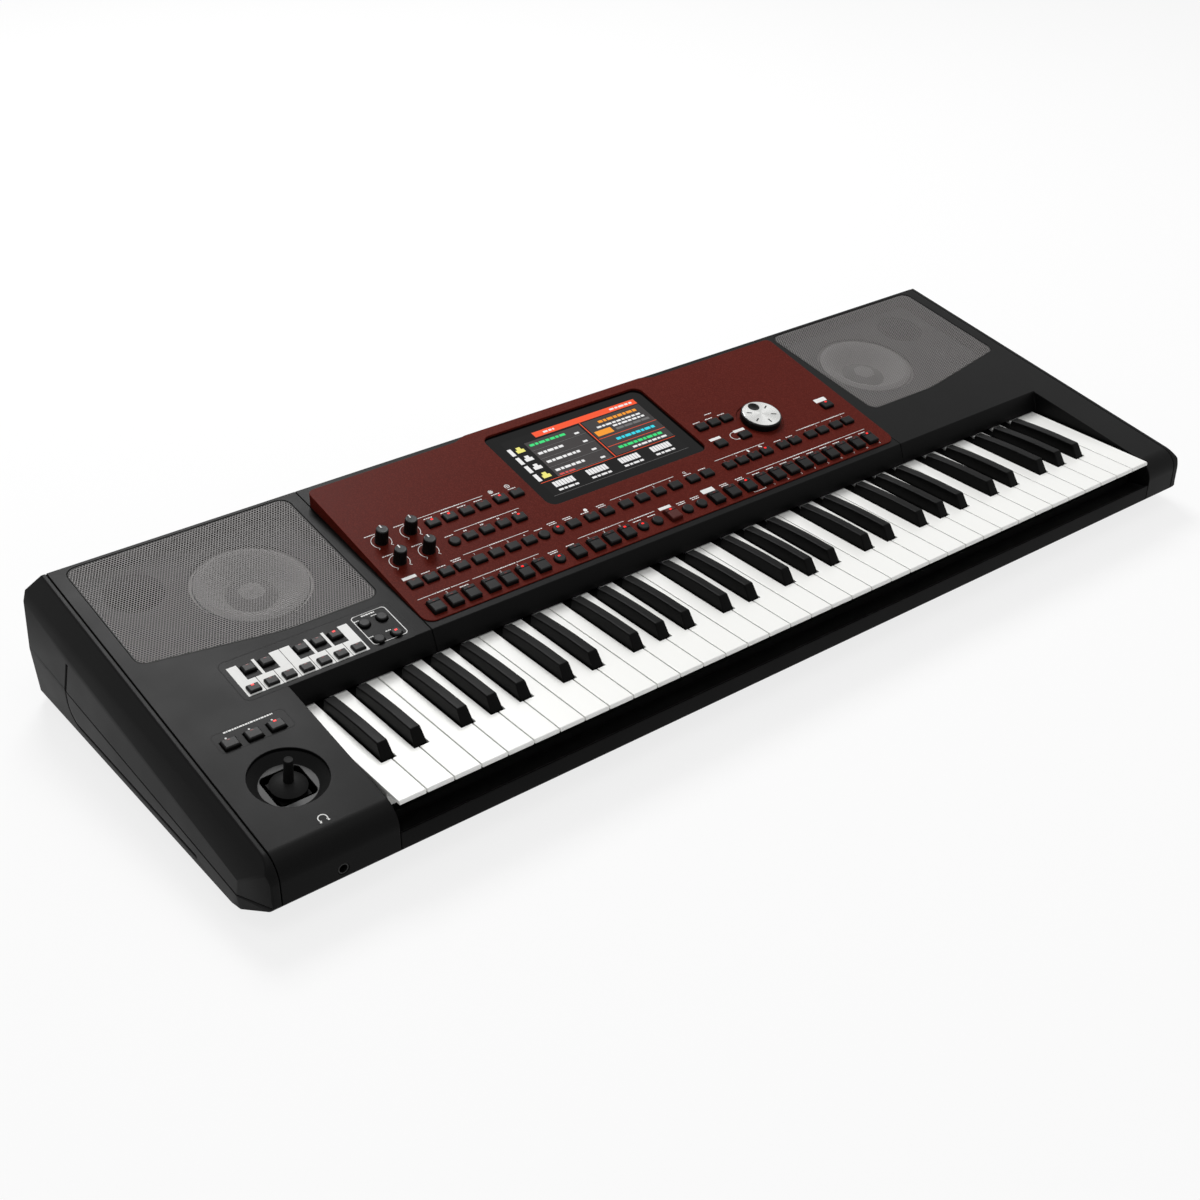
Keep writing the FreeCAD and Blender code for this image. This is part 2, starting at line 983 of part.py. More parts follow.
# Each bank: maker, first place, row, pitch and count
menu_banks = [
    (small_button, panel_x(mode_share), top_row, wide_pitch, mode_count),
    (small_button, panel_x(global_share), top_row, wide_pitch, global_count),
    (round_button, panel_x(player_stop_share), second_row, wide_pitch, single_count),
    (small_button, panel_x(player_share), second_row, wide_pitch, player_count),
]
pad_banks = [
    (small_button, panel_x(chord_share), third_row, close_pitch, chord_count),
    (small_button, panel_x(pad_share), third_row, wide_pitch, pad_count),
    (round_button, panel_x(pad_stop_share), third_row, close_pitch, pad_stop_count),
    (small_button, panel_x(record_share), third_row, wide_pitch, single_count),
    (small_button, panel_x(select_share), third_row, wide_pitch, select_count),
    (small_button, panel_x(part_share), third_row, open_pitch, part_count),
    (small_button, panel_x(assign_key_share), third_row, wide_pitch, assign_key_count),
]
variation_banks = [
    (large_button, panel_x(intro_share), front_row, wide_pitch, intro_count),
    (large_button, panel_x(variation_share), front_row, wide_pitch, variation_count),
    (round_button, panel_x(fill_share), front_row, wide_pitch, single_count),
    (large_button, panel_x(break_share), front_row, wide_pitch, single_count),
]
transport_banks = [
    (large_button, panel_x(ending_share), front_row, wide_pitch, ending_count),
    (round_button, panel_x(synchro_share), front_row, round_pitch, synchro_count),
    (round_button, panel_x(reset_share), front_row, round_pitch, reset_count),
    (large_button, panel_x(scroll_share), front_row, open_pitch, scroll_count),
]
start_banks = [(large_button, panel_x(start_share), front_row, wide_pitch, single_count)]
sound_set_banks = [(large_button, panel_x(sound_set_share), front_row, wide_pitch, sound_set_count)]
entry_banks = [
    (small_button, panel_x(tempo_share), third_row, close_pitch, tempo_count),
    (small_button, panel_x(split_share), third_row, close_pitch, split_count),
    (small_button, panel_x(octave_share), third_row, close_pitch, octave_count),
    (small_button, panel_x(transpose_share), third_row, close_pitch, transpose_count),
    (small_button, panel_x(entry_share), top_row, close_pitch, entry_count),
    (small_button, panel_x(entry_share), second_row, entry_pitch, entry_key_count),
    (small_button, panel_x(search_share), second_row, wide_pitch, single_count),
]
scale_x = cheek_x(scale_share)
scale_black_x = scale_x + scale_shift_share * left_section
scale_second_x = scale_black_x + (scale_first_count + 1) * scale_pitch
preset_x = cheek_x(preset_share)
scale_banks = [
    (scale_button, scale_x, scale_lower_row, scale_pitch, scale_white_count),
    (scale_button, scale_black_x, scale_upper_row, scale_pitch, scale_first_count),
    (scale_button, scale_second_x, scale_upper_row, scale_pitch, scale_second_count),
    (preset_button, preset_x, scale_lower_row, preset_pitch, preset_count),
    (preset_button, preset_x, scale_upper_row, preset_pitch, preset_count),
]
switch_x = switch_share * left_block_width - half_width
switch_row = -switch_row_share * keyboard_depth
switch_banks = [(assign_switch, switch_x, switch_row, switch_pitch, switch_count)]

panel_button_nodes = {
    "menu_buttons": menu_banks,
    "pad_buttons": pad_banks,
    "variation_buttons": variation_banks,
    "transport_buttons": transport_banks,
    "start_stop_button": start_banks,
    "sound_set_buttons": sound_set_banks,
    "entry_buttons": entry_banks,
}
cheek_button_nodes = {
    "scale_buttons": scale_banks,
    "assign_switches": switch_banks,
}


def bank_shapes(banks):
    """Every button of some banks, in the frame of its surface."""
    shapes = []
    for maker, first, row, pitch, count in banks:
        for index in range(count):
            shapes.append(maker(first + index * pitch, row))
    return shapes


def button_hole(button):
    """Opening round a button, a clearance wider on every side."""
    box = button.BoundBox
    margin = vec(fit_gap, fit_gap, overrun)
    low = vec(box.XMin, box.YMin, box.ZMin) - margin
    high = vec(box.XMax, box.YMax, box.ZMax) + margin
    round_plan = len([edge for edge in button.Edges if isinstance(edge.Curve, Part.Circle)]) > 0
    if round_plan:
        return upright(box.XLength / 2 + fit_gap, low.z, high.z, box.Center.x, box.Center.y)
    return block(low, high)


# Knobs and dial

def knob_places():
    places = []
    for row_share in (knob_top_share, knob_bottom_share):
        for index in range(knob_column_count):
            places.append((panel_x(knob_share) + index * knob_pitch, row_share * panel_run))
    return places


def knob(x, row):
    """Slightly tapered knob on its shaft."""
    points = [
        (0, -board_drop),
        (knob_shaft_radius, -board_drop),
        (knob_shaft_radius, knob_lift),
        (knob_base_radius, knob_lift),
        (knob_radius, knob_height - knob_bevel),
        (knob_radius - knob_bevel, knob_height),
        (0, knob_height),
    ]
    return placed(spun(points, x, row), panel_frame)


def value_dial():
    """Dial with its skirt, standing in a shallow recess."""
    low = knob_lift - dial_recess
    seat = dial_height - dial_cap_thickness
    points = [
        (0, -board_drop),
        (dial_shaft_radius, -board_drop),
        (dial_shaft_radius, low),
        (dial_radius, low),
        (dial_radius, seat),
        (dial_cap_radius, dial_height),
        (dial_cap_radius, seat),
        (0, seat),
    ]
    return placed(spun(points, dial_x, dial_row), panel_frame)


def dial_cap():
    """Metal disc on the dial, with a finger dimple."""
    seat = dial_height - dial_cap_thickness
    disc = upright(dial_cap_radius, seat, dial_height, dial_x, dial_row)
    dimple = dial_dimple_share * dial_cap_radius
    ball = dimple ** 2 / (2 * dial_dimple_depth) + dial_dimple_depth / 2
    place = dial_row + dial_dimple_place_share * dial_cap_radius
    centre = vec(dial_x, place, dial_height + ball - dial_dimple_depth)
    return placed(disc.cut(Part.makeSphere(ball, centre)), panel_frame)


# Control panel and display

def panel_points(inset):
    """Corners of the panel in plan, with the tab that reaches back behind the display."""
    left = panel_left + inset
    right = panel_right - inset
    front = panel_front_y + inset
    rear = panel_front_y + panel_depth - inset
    tab_left = panel_shift - tab_width / 2 + inset
    tab_right = panel_shift + tab_width / 2 - inset
    points = [
        (left, front),
        (right, front),
        (right, rear),
        (tab_right + tab_sweep, rear),
        (tab_right, rear + tab_depth),
        (tab_left, rear + tab_depth),
        (tab_left - tab_sweep, rear),
        (left, rear),
    ]
    return points


def panel_column(inset):
    """Upright prism over the panel's outline."""
    front = max(panel_front_radius - inset, fit_gap)
    rear = max(panel_rear_radius - inset, fit_gap)
    radii = [front, front, rear, tab_sweep, tab_sweep, tab_sweep, tab_sweep, rear]
    points = [vec(x, y, 0) for x, y in panel_points(inset)]
    return rounded_face(points, radii).extrude(vec(0, 0, 2 * body_top))


def panel_half(drop):
    """Everything below the panel's face, less a drop."""
    big = 2 * body_width
    return placed(block(vec(-big, -big, -big), vec(big, big, -drop)), panel_frame)


def above_top():
    """Everything above the black top."""
    big = 2 * body_width
    return placed(block(vec(-big, -big, 0), vec(big, big, big)), top_frame)


def display_face(grow, height):
    """Outline of the display's window in the panel's frame."""
    rear = panel_run - display_rear_margin
    front = rear - display_depth
    left = panel_shift - display_width / 2
    right = panel_shift + display_width / 2
    corners = [(left, front), (right, front), (right, rear), (left, rear)]
    points = [vec(x, row, height) for x, row in corners]
    return grown_face(rounded_face(points, [display_radius] * 4), grow)


def panel_posts():
    """Posts that carry the switch board."""
    rows = (board_margin + panel_post_radius, panel_run - display_rear_margin - display_depth)
    columns = (panel_left + 2 * board_margin, panel_right - 2 * board_margin)
    posts = []
    for x in columns:
        for row in rows:
            posts.append(upright(panel_post_radius, -board_drop, -panel_plate, x, row + button_large_depth))
    return posts


def control_panel():
    """Raised panel: a plate with a skirt down to the black top, pierced for every control."""
    wedge = panel_column(0).common(panel_half(0)).common(above_top())
    plate = panel_column(panel_ledge + fit_gap).common(panel_half(0))
    hollow = panel_column(panel_skirt).common(panel_half(panel_plate))
    panel = wedge.fuse(plate).cut(hollow)
    cutters = []
    for banks in panel_button_nodes.values():
        cutters += [button_hole(button) for button in bank_shapes(banks)]
    for x, row in knob_places():
        cutters.append(upright(knob_shaft_radius + fit_gap, -board_drop, overrun, x, row))
    cutters.append(upright(dial_shaft_radius + fit_gap, -board_drop, overrun, dial_x, dial_row))
    cutters.append(upright(dial_radius + dial_recess_gap, -dial_recess, overrun, dial_x, dial_row))
    cutters.append(display_face(0, -board_drop).extrude(vec(0, 0, board_drop + overrun)))
    panel = panel.cut([placed(cutter, panel_frame) for cutter in cutters])
    return panel.fuse([placed(post, panel_frame) for post in panel_posts()]).removeSplitter()


def display_glass():
    """Glass held against the back of the panel."""
    sheet = display_face(glass_overlap, -panel_plate - glass_thickness)
    return placed(sheet.extrude(vec(0, 0, glass_thickness)), panel_frame)


def lcd_module():
    """Metal-backed display module under the glass."""
    top = -panel_plate - glass_thickness
    frame = display_face(-lcd_margin, top - lcd_thickness).extrude(vec(0, 0, lcd_thickness))
    return placed(frame, panel_frame)


def panel_board():
    """Switch board carried on the panel's posts."""
    left = panel_left + board_margin
    right = panel_right - board_margin
    rear = panel_run - display_rear_margin - display_depth + 2 * button_large_depth
    board = block(vec(left, board_margin, -board_drop - board_thickness), vec(right, rear, -board_drop))
    return placed(board, panel_frame)


# Joystick

def joystick_housing():
    """Bowl under the joystick's opening, with the ears that carry the gimbal."""
    x, row = joystick_x, joystick_row
    low = -bowl_depth - bowl_sheet
    points = [
        (bowl_radius, -wall),
        (bowl_radius + bowl_lip, -wall),
        (bowl_floor_radius + bowl_lip, low),
        (0, low),
        (0, -bowl_depth),
        (bowl_floor_radius, -bowl_depth),
    ]
    bowl = spun(points, x, row)
    bowl = bowl.cut(rounded_square(bowl_window, bowl_window_radius, low - overrun, 0, x, row))
    pin = gimbal_pin_radius + gimbal_pin_gap
    ear_low = -stick_pivot_drop - ear_width / 2
    for side in (-1, 1):
        ear_x = x + side * (bowl_window / 2 + ear_thickness / 2)
        ear = centred_block(ear_thickness, ear_width, ear_low, low, ear_x, row)
        start = vec(ear_x - ear_thickness, row, -stick_pivot_drop)
        hole = Part.makeCylinder(pin, 2 * ear_thickness, start, vec(1, 0, 0))
        bowl = bowl.fuse(ear).cut(hole)
    return placed(bowl.removeSplitter(), top_frame)


def joystick_gimbal():
    """Square ring that tilts on two pins between the ears."""
    x, row = joystick_x, joystick_row
    low = -stick_pivot_drop - gimbal_height / 2
    high = -stick_pivot_drop + gimbal_height / 2
    ring = centred_block(gimbal_width, gimbal_width, low, high, x, row)
    ring = ring.cut(centred_block(gimbal_window, gimbal_window, low - overrun, high + overrun, x, row))
    pin_length = bowl_window + ear_thickness
    pin_start = vec(x - pin_length / 2, row, -stick_pivot_drop)
    pins = Part.makeCylinder(gimbal_pin_radius, pin_length, pin_start, vec(1, 0, 0))
    inside = centred_block(gimbal_window, gimbal_window, low - overrun, high + overrun, x, row)
    ring = ring.fuse(pins.cut(inside))
    bore = Part.makeCylinder(
        gimbal_pin_radius + gimbal_pin_gap, 2 * gimbal_width,
        vec(x, row - gimbal_width, -stick_pivot_drop), vec(0, 1, 0),
    )
    return placed(ring.cut(bore).removeSplitter(), top_frame)


def joystick_stick():
    """Stick with its domed boot and the two pins it tilts on."""
    x, row = joystick_x, joystick_row
    pivot = vec(x, row, -stick_pivot_drop)
    shaft = upright(stick_radius, -stick_pivot_drop - gimbal_height / 2, stick_rise, x, row)
    low = boot_lift - stick_pivot_drop
    column = rounded_square(boot_width, boot_radius, low, low + boot_width, x, row)
    dome = Part.makeSphere(boot_ball_radius, pivot).cut(Part.makeSphere(boot_ball_radius - boot_sheet, pivot))
    boot = dome.common(column)
    pins = Part.makeCylinder(
        gimbal_pin_radius, gimbal_width, vec(x, row - gimbal_width / 2, -stick_pivot_drop), vec(0, 1, 0),
    )
    return placed(shaft.fuse([boot, pins]).removeSplitter(), top_frame)


# Keys

def black_centres():
    """Middle of each black key, from the left end of the keyboard."""
    centres = []
    first_group = first_group_whites * key_pitch
    second_group = second_group_whites * key_pitch
    first_slot = first_group / (2 * first_group_whites - 1)
    second_slot = second_group / (2 * second_group_whites - 1)
    for octave in range(white_count // octave_whites):
        start = octave * octave_whites * key_pitch
        for index in range(first_group_whites - 1):
            centres.append(start + (black_step_count * index + black_slot_share) * first_slot)
        for index in range(second_group_whites - 1):
            centres.append(start + first_group + (black_step_count * index + black_slot_share) * second_slot)
    return centres


def white_profile():
    """Side profile of a white key: overhanging lip, body and hinged tail."""
    under = white_top - white_height
    throat = key_front + key_throat_reach
    return [
        (key_front + lip_round, white_top),
        (key_front, white_top - lip_round),
        (key_front, white_top - lip_height),
        (key_front + lip_depth, white_top - lip_height),
        (key_front + lip_depth, under),
        (throat, under),
        (throat + key_throat_length, hinge_z),
        (hinge_y + key_tail, hinge_z),
        (hinge_y + key_tail, white_top),
    ]


def hinge_groove(left, right):
    """Round groove by which a key sits on the pivot rail."""
    start = vec(left - overrun, hinge_y, hinge_z)
    return Part.makeCylinder(hinge_radius + fit_gap, right - left + 2 * overrun, start, vec(1, 0, 0))


def white_key(index):
    """One white key, cut back beside the black keys next to it."""
    left = keys_left + index * key_pitch + key_gap / 2
    right = keys_left + (index + 1) * key_pitch - key_gap / 2
    key = across(white_profile(), left, right).cut(hinge_groove(left, right))
    slot = black_width / 2 + black_slot_gap
    front = key_front + black_setback - black_slot_gap
    for centre in black_centres():
        low = keys_left + centre - slot
        high = keys_left + centre + slot
        if low < right and high > left:
            key = key.cut(block(vec(low, front, 0), vec(high, rear_y, body_top)))
    return key


def black_key(centre):
    """One black key: tapered sides, sloping nose and a crowned top that dips to the rear."""
    middle = keys_left + centre
    front = key_front + black_setback
    rear = front + black_length
    low = white_top - white_height + lip_height
    nose = vec(0, front + black_nose, white_top + black_rise)
    crown = vec(0, front + black_length / 2, white_top + black_crown_rise)
    back = vec(0, rear, white_top + black_rear_rise)
    edges = [
        Part.LineSegment(vec(0, rear, low), vec(0, front, low)).toShape(),
        Part.LineSegment(vec(0, front, low), vec(0, front, white_top)).toShape(),
        Part.LineSegment(vec(0, front, white_top), nose).toShape(),
        Part.Arc(nose, crown, back).toShape(),
        Part.LineSegment(back, vec(0, rear, low)).toShape(),
    ]
    body = Part.Face(Part.Wire(edges)).extrude(vec(black_width, 0, 0)).translated(vec(-black_width / 2, 0, 0))
    half = black_width / 2
    half_top = black_top_width / 2
    top = white_top + black_rise
    section = [
        vec(-half, 0, low), vec(half, 0, low), vec(half, 0, white_top),
        vec(half_top, 0, top), vec(-half_top, 0, top), vec(-half, 0, white_top),
    ]
    taper = sharp_face(section).extrude(vec(0, black_length + 2 * overrun, 0))
    taper = taper.translated(vec(0, front - overrun, 0))
    tail = block(vec(-half, rear - overrun, hinge_z), vec(half, hinge_y + key_tail, white_top - key_gap))
    key = body.common(taper).fuse(tail).cut(hinge_groove(-half, half)).removeSplitter()
    return key.translated(vec(middle, 0, 0))


# Keybed

def keybed_frame():
    """Folded chassis with the front stop rail and the pivot rail at the rear."""
    low = keybed_height
    high = keybed_height + keybed_sheet
    front = front_y + keybed_front_setback
    rail_front = front_y + keybed_rail_setback
    rail_back = rail_front + keybed_rail_width
    ridge = hinge_z + hinge_radius
    rear = hinge_y + keybed_rear_reach
    points = [
        (front, low),
        (rear, low),
        (rear, high),
        (hinge_y + hinge_radius, high),
        (hinge_y + hinge_radius, ridge),
        (hinge_y - hinge_radius, ridge),
        (hinge_y - hinge_radius, high),
        (rail_back, high),
        (rail_back, stop_rail_top),
        (rail_front, stop_rail_top),
        (rail_front, high),
        (front, high),
    ]
    radii = [0, 0, 0, 0, hinge_radius, hinge_radius, 0, 0, 0, 0, 0, 0]
    left = well_left + keybed_end_gap
    right = well_right - keybed_end_gap
    profile = rounded_face([vec(left, y, z) for y, z in points], radii)
    return profile.extrude(vec(right - left, 0, 0))


def key_contact_board():
    """Contact board on the chassis with its rubber contact ridge."""
    low = keybed_height + keybed_sheet
    high = low + board_thickness
    front = key_front + contact_board_setback
    rear = front + contact_board_depth
    left = keys_left
    right = keys_left + keyboard_width
    board = block(vec(left, front, low), vec(right, rear, high))
    middle = (front + rear) / 2
    ridge = block(
        vec(left, middle - contact_ridge_width / 2, high),
        vec(right, middle + contact_ridge_width / 2, high + contact_ridge_height),
    )
    return board.fuse(ridge).removeSplitter()


# Lower case and what stands on it

def keybed_ribs():
    """Ribs of the tray that carry the keybed."""
    ribs = []
    span = well_right - well_left - 2 * rib_setback
    for index in range(rib_count):
        middle = well_left + rib_setback + span * index / (rib_count - 1)
        low = vec(middle - rib_width / 2, front_y + keybed_front_setback, 0)
        high = vec(middle + rib_width / 2, hinge_y + keybed_rear_reach, keybed_height)
        ribs.append(block(low, high).common(inner_form))
    return ribs


def board_corners(width, depth, x, y):
    """Places of a board's four bosses."""
    reach_x = width / 2 - board_corner
    reach_y = depth / 2 - board_corner
    return [(x + sx * reach_x, y + sy * reach_y) for sx in (-1, 1) for sy in (-1, 1)]


def boss_places():
    main = board_corners(main_board_width, main_board_depth, main_board_x, main_board_y)
    return main + board_corners(supply_width, supply_depth, supply_x, supply_y)


def screw_places():
    places = []
    screw_x = half_width - screw_side_inset
    for y in (front_y + screw_front_inset, rear_y - screw_rear_inset):
        for index in range(screw_columns):
            places.append((screw_x * (2 * index / (screw_columns - 1) - 1), y))
    return places


def bay_opening():
    """Opening in the rear wall for the jack panel."""
    return block(vec(bay_left, bay_face_y, bay_low), vec(bay_right, rear_y + overrun, bay_high))


def bay_walls():
    """Walls of the sunk bay, from the rear wall in to the jack panel."""
    low = vec(bay_left - bay_frame, bay_face_y, foot_height + wall / 2)
    high = vec(bay_right + bay_frame, rear_y, bay_high + bay_frame)
    return block(low, high).common(outer_form)


def side_groove():
    """Bent styling groove low on the left side, as deep all along as the side slopes."""
    width = side_groove_width
    rear = rear_y - side_groove_setback
    front = front_y + side_groove_front
    low = foot_height + side_groove_lift
    high = seam_height(rear) + side_groove_rise
    points = [
        (rear - side_groove_lean, high),
        (rear, low),
        (front, low),
        (front, low + width),
        (rear - width, low + width),
        (rear - width - side_groove_lean, high),
    ]
    radii = [0, side_groove_radius + width, 0, 0, side_groove_radius, 0]
    path = rounded_face([vec(-half_width - overrun, y, z) for y, z in points], radii)
    skin = outer_form.cut(envelope(side_groove_depth))
    return path.extrude(vec(half_width, 0, 0)).common(skin)


def mirrored(shape):
    """The same shape on the other side of the middle."""
    return shape.mirror(vec(0, 0, 0), vec(1, 0, 0))


left_groove = side_groove()


def bottom_case():
    """Tapered tray with ribs, bosses, screw holes and the rear opening."""
    tray = shell.common(below_seam())
    root = foot_height + wall / 2
    bosses = [upright(boss_radius, root, floor_top + boss_height, x, y) for x, y in boss_places()]
    pillars = []
    holes = []
    for x, y in screw_places():
        pillars.append(upright(boss_radius, root, foot_height + pillar_height, x, y))
        holes.append(upright(screw_shank_radius + fit_gap / 2, 0, foot_height + screw_length + fit_gap, x, y))
    tray = tray.fuse(keybed_ribs() + bosses + pillars + [bay_walls()])
    tray = tray.cut([bay_opening()] + holes)
    return tray.cut([left_groove, mirrored(left_groove)]).removeSplitter()


def side_cheek(side):
    """Outer rim of one end of the upper case."""
    if side < 0:
        return upper_section(-body_width, -cheek_seam).cut(left_groove)
    return upper_section(cheek_seam, body_width).cut(mirrored(left_groove))


def left_top_case():
    """Left top section: speaker, scale buttons, switches, joystick and headphone jack."""
    section = with_speaker(upper_section(-cheek_seam, panel_left), -1)
    cutters = []
    for banks in cheek_button_nodes.values():
        cutters += [placed(button_hole(button), top_frame) for button in bank_shapes(banks)]
    x, row = joystick_x, joystick_row
    cutters.append(placed(upright(bowl_radius, -wall - overrun, overrun, x, row), top_frame))
    front = front_y - overrun
    cutters.append(along_y(phones_hole_radius, front, front_y + wall + overrun, phones_x, phones_height))
    return section.cut(cutters).removeSplitter()


def right_top_case():
    return with_speaker(upper_section(panel_right, cheek_seam), 1).removeSplitter()


def centre_top_case():
    """Frame round the control panel with the fallboard."""
    section = upper_section(panel_left, panel_right)
    return section.cut(panel_column(panel_ledge)).removeSplitter()


def key_slip():
    """Rail below the key fronts, its ledge running in under the keys."""
    back = front_y + slip_ledge
    ledge = keybed_height + keybed_sheet + slip_ledge_gap
    points = [
        (front_y, slip_low),
        (front_y, slip_height),
        (front_y + wall - slip_step, slip_height),
        (front_y + wall, slip_height - slip_step),
        (back, ledge + wall),
        (back, ledge),
        (front_y + wall, slip_height - slip_step - wall),
        (front_y + wall, slip_low),
    ]
    return across(points, well_left + fit_gap, well_right - fit_gap)


def rubber_feet():
    feet = []
    foot_x = half_width - foot_side_inset
    for x in (-foot_x, foot_x):
        for y in (front_y + foot_front_inset, rear_y - foot_rear_inset):
            points = [
                (0, 0),
                (foot_radius - foot_taper, 0),
                (foot_radius, foot_height),
                (0, foot_height),
            ]
            feet.append(spun(points, x, y))
    return group(feet)


def case_screws():
    screws = []
    for x, y in screw_places():
        head = upright(screw_head_radius, foot_height - screw_head_height, foot_height, x, y)
        shank = upright(screw_shank_radius, foot_height, foot_height + screw_length, x, y)
        screws.append(head.fuse(shank).removeSplitter())
    return group(screws)


def main_board():
    """Main circuit board with its larger chips."""
    low = floor_top + boss_height
    high = low + board_thickness
    board = centred_block(main_board_width, main_board_depth, low, high, main_board_x, main_board_y)
    chips = []
    for index in (-1, 0, 1):
        x = main_board_x + index * 2 * chip_width
        chips.append(centred_block(chip_width, chip_width, high, high + chip_height, x, main_board_y))
    return board.fuse(chips).removeSplitter()


def power_supply():
    """Power board with its transformer."""
    low = floor_top + boss_height
    high = low + board_thickness
    board = centred_block(supply_width, supply_depth, low, high, supply_x, supply_y)
    top = high + transformer_height
    core = centred_block(transformer_width, transformer_depth, high, top, supply_x, supply_y)
    return board.fuse(core).removeSplitter()


# Rear jack bay

jack_places = [bay_x(jack_share) + index * jack_pitch for index in range(jack_count)]
din_places = [bay_x(din_share) + index * din_pitch for index in range(din_count)]
usb_device_x = bay_x(usb_device_share)
usb_host_x = bay_x(usb_host_share)
rocker_x = bay_x(rocker_share)
inlet_x = bay_x(inlet_share)


def jack_panel():
    """Plate against the inner end of the bay's walls, pierced for every socket."""
    plate = block(
        vec(bay_left - bay_frame, bay_plate_y, floor_top + fit_gap),
        vec(bay_right + bay_frame, bay_face_y, bay_high + bay_frame),
    )
    boxes = [
        (usb_device_x, usb_device_width, usb_device_height),
        (usb_host_x, usb_host_width, usb_host_height),
        (inlet_x, inlet_width, inlet_height),
        (rocker_x, rocker_width + 2 * rocker_frame, rocker_height + 2 * rocker_frame),
    ]
    rounds = [(x, jack_bush_radius) for x in jack_places] + [(x, din_radius) for x in din_places]
    cutters = [along_y(radius, bay_plate_y - overrun, rear_y, x, bay_middle) for x, radius in rounds]
    for x, width, height in boxes:
        low = vec(x - width / 2, bay_plate_y - overrun, bay_middle - height / 2)
        high = vec(x + width / 2, rear_y, bay_middle + height / 2)
        cutters.append(block(low, high))
    return plate.cut(cutters)


def phone_jack(x):
    """Quarter-inch jack: body behind the plate, bush through it."""
    body = block(
        vec(x - jack_body_width / 2, bay_plate_y - jack_body_depth, bay_middle - jack_body_width / 2),
        vec(x + jack_body_width / 2, bay_plate_y, bay_middle + jack_body_width / 2),
    )
    bush = along_y(jack_bush_radius, bay_plate_y, bay_face_y + jack_bush_length, x, bay_middle)
    end = bay_face_y + jack_bush_length
    bore = along_y(jack_radius, end - jack_bore_depth, end + overrun, x, bay_middle)
    return body.fuse(bush).cut(bore).removeSplitter()


def din_socket(x):
    """Round five-pin socket."""
    body = along_y(din_radius, bay_face_y - din_depth, bay_face_y, x, bay_middle)
    return body.cut(along_y(din_bore, bay_face_y - din_bore_depth, bay_face_y + overrun, x, bay_middle))


def box_socket(x, width, height, sheet, depth, hollow_depth):
    """Rectangular socket shell, open to the rear."""
    body = block(
        vec(x - width / 2, bay_face_y - depth, bay_middle - height / 2),
        vec(x + width / 2, bay_face_y, bay_middle + height / 2),
    )
    hollow = block(
        vec(x - width / 2 + sheet, bay_face_y - hollow_depth, bay_middle - height / 2 + sheet),
        vec(x + width / 2 - sheet, bay_face_y + overrun, bay_middle + height / 2 - sheet),
    )
    return body.cut(hollow)


def power_inlet():
    """Three-pin mains inlet."""
    shell_body = box_socket(inlet_x, inlet_width, inlet_height, inlet_sheet, inlet_depth, inlet_cavity)
    pins = []
    for index in (-1, 0, 1):
        x = inlet_x + index * inlet_pin_pitch
        back = bay_face_y - inlet_cavity
        low = vec(x - inlet_pin_width / 2, back, bay_middle - inlet_pin_height / 2)
        high = vec(x + inlet_pin_width / 2, back + inlet_pin_length, bay_middle + inlet_pin_height / 2)
        pins.append(block(low, high))
    return shell_body.fuse(pins).removeSplitter()


def rocker_axis():
    """Depth and height of the line the rocker turns about."""
    return bay_face_y - rocker_depth / 2, bay_middle


def rocker_pins(gap):
    """The rocker's pin right across, or the bore for it with a gap all round."""
    y, z = rocker_axis()
    length = rocker_width + 2 * rocker_frame - 2 * rocker_gap + 2 * gap
    return Part.makeCylinder(rocker_pin_radius + gap, length, vec(rocker_x - length / 2, y, z), vec(1, 0, 0))


def rocker_housing():
    """Frame round the power rocker, bored for the pins it turns on."""
    width = rocker_width + 2 * rocker_frame
    height = rocker_height + 2 * rocker_frame
    hollow = rocker_frame_depth - rocker_frame
    frame = box_socket(rocker_x, width, height, rocker_frame, rocker_frame_depth, hollow)
    return frame.cut(rocker_pins(fit_gap))


def rear_sockets():
    """Every socket in the bay, and the housing of the power switch."""
    sockets = [phone_jack(x) for x in jack_places] + [din_socket(x) for x in din_places]
    hollow = usb_depth - usb_sheet
    sockets.append(box_socket(usb_device_x, usb_device_width, usb_device_height, usb_sheet, usb_depth, hollow))
    sockets.append(box_socket(usb_host_x, usb_host_width, usb_host_height, usb_sheet, usb_depth, hollow))
    return group(sockets + [power_inlet(), rocker_housing()])


def power_switch():
    """Rocker with a bowed face, at rest on its off side."""
    y, z = rocker_axis()
    width = rocker_width - 2 * rocker_gap / 3
    height = rocker_height - 2 * rocker_gap
    back = y - rocker_depth / 2
    face = y + rocker_depth / 2
    points = [
        vec(0, back, z - height / 2), vec(0, face, z - height / 2),
        vec(0, face, z + height / 2), vec(0, back, z + height / 2),
    ]
    edges = [
        Part.LineSegment(points[3], points[0]).toShape(),
        Part.LineSegment(points[0], points[1]).toShape(),
        Part.Arc(points[1], vec(0, face - rocker_bow, z), points[2]).toShape(),
        Part.LineSegment(points[2], points[3]).toShape(),
    ]
    rocker = Part.Face(Part.Wire(edges)).extrude(vec(width, 0, 0))
    rocker = rocker.translated(vec(rocker_x - width / 2, 0, 0)).fuse(rocker_pins(0))
    rocker.rotate(vec(0, y, z), vec(1, 0, 0), -rocker_angle)
    return rocker


def headphone_jack():
    """Jack behind the front wall of the left cheek."""
    seat = front_y + wall
    body = block(
        vec(phones_x - phones_body_width / 2, seat, phones_height - phones_bush_radius - fit_gap),
        vec(phones_x + phones_body_width / 2, seat + phones_body_depth, phones_height + phones_body_width / 2),
    )
    bush = along_y(phones_bush_radius, front_y + fit_gap, seat, phones_x, phones_height)
    bore = along_y(jack_radius, front_y, seat + phones_body_depth - wall, phones_x, phones_height)
    return body.fuse(bush).cut(bore).removeSplitter()


# Nodes

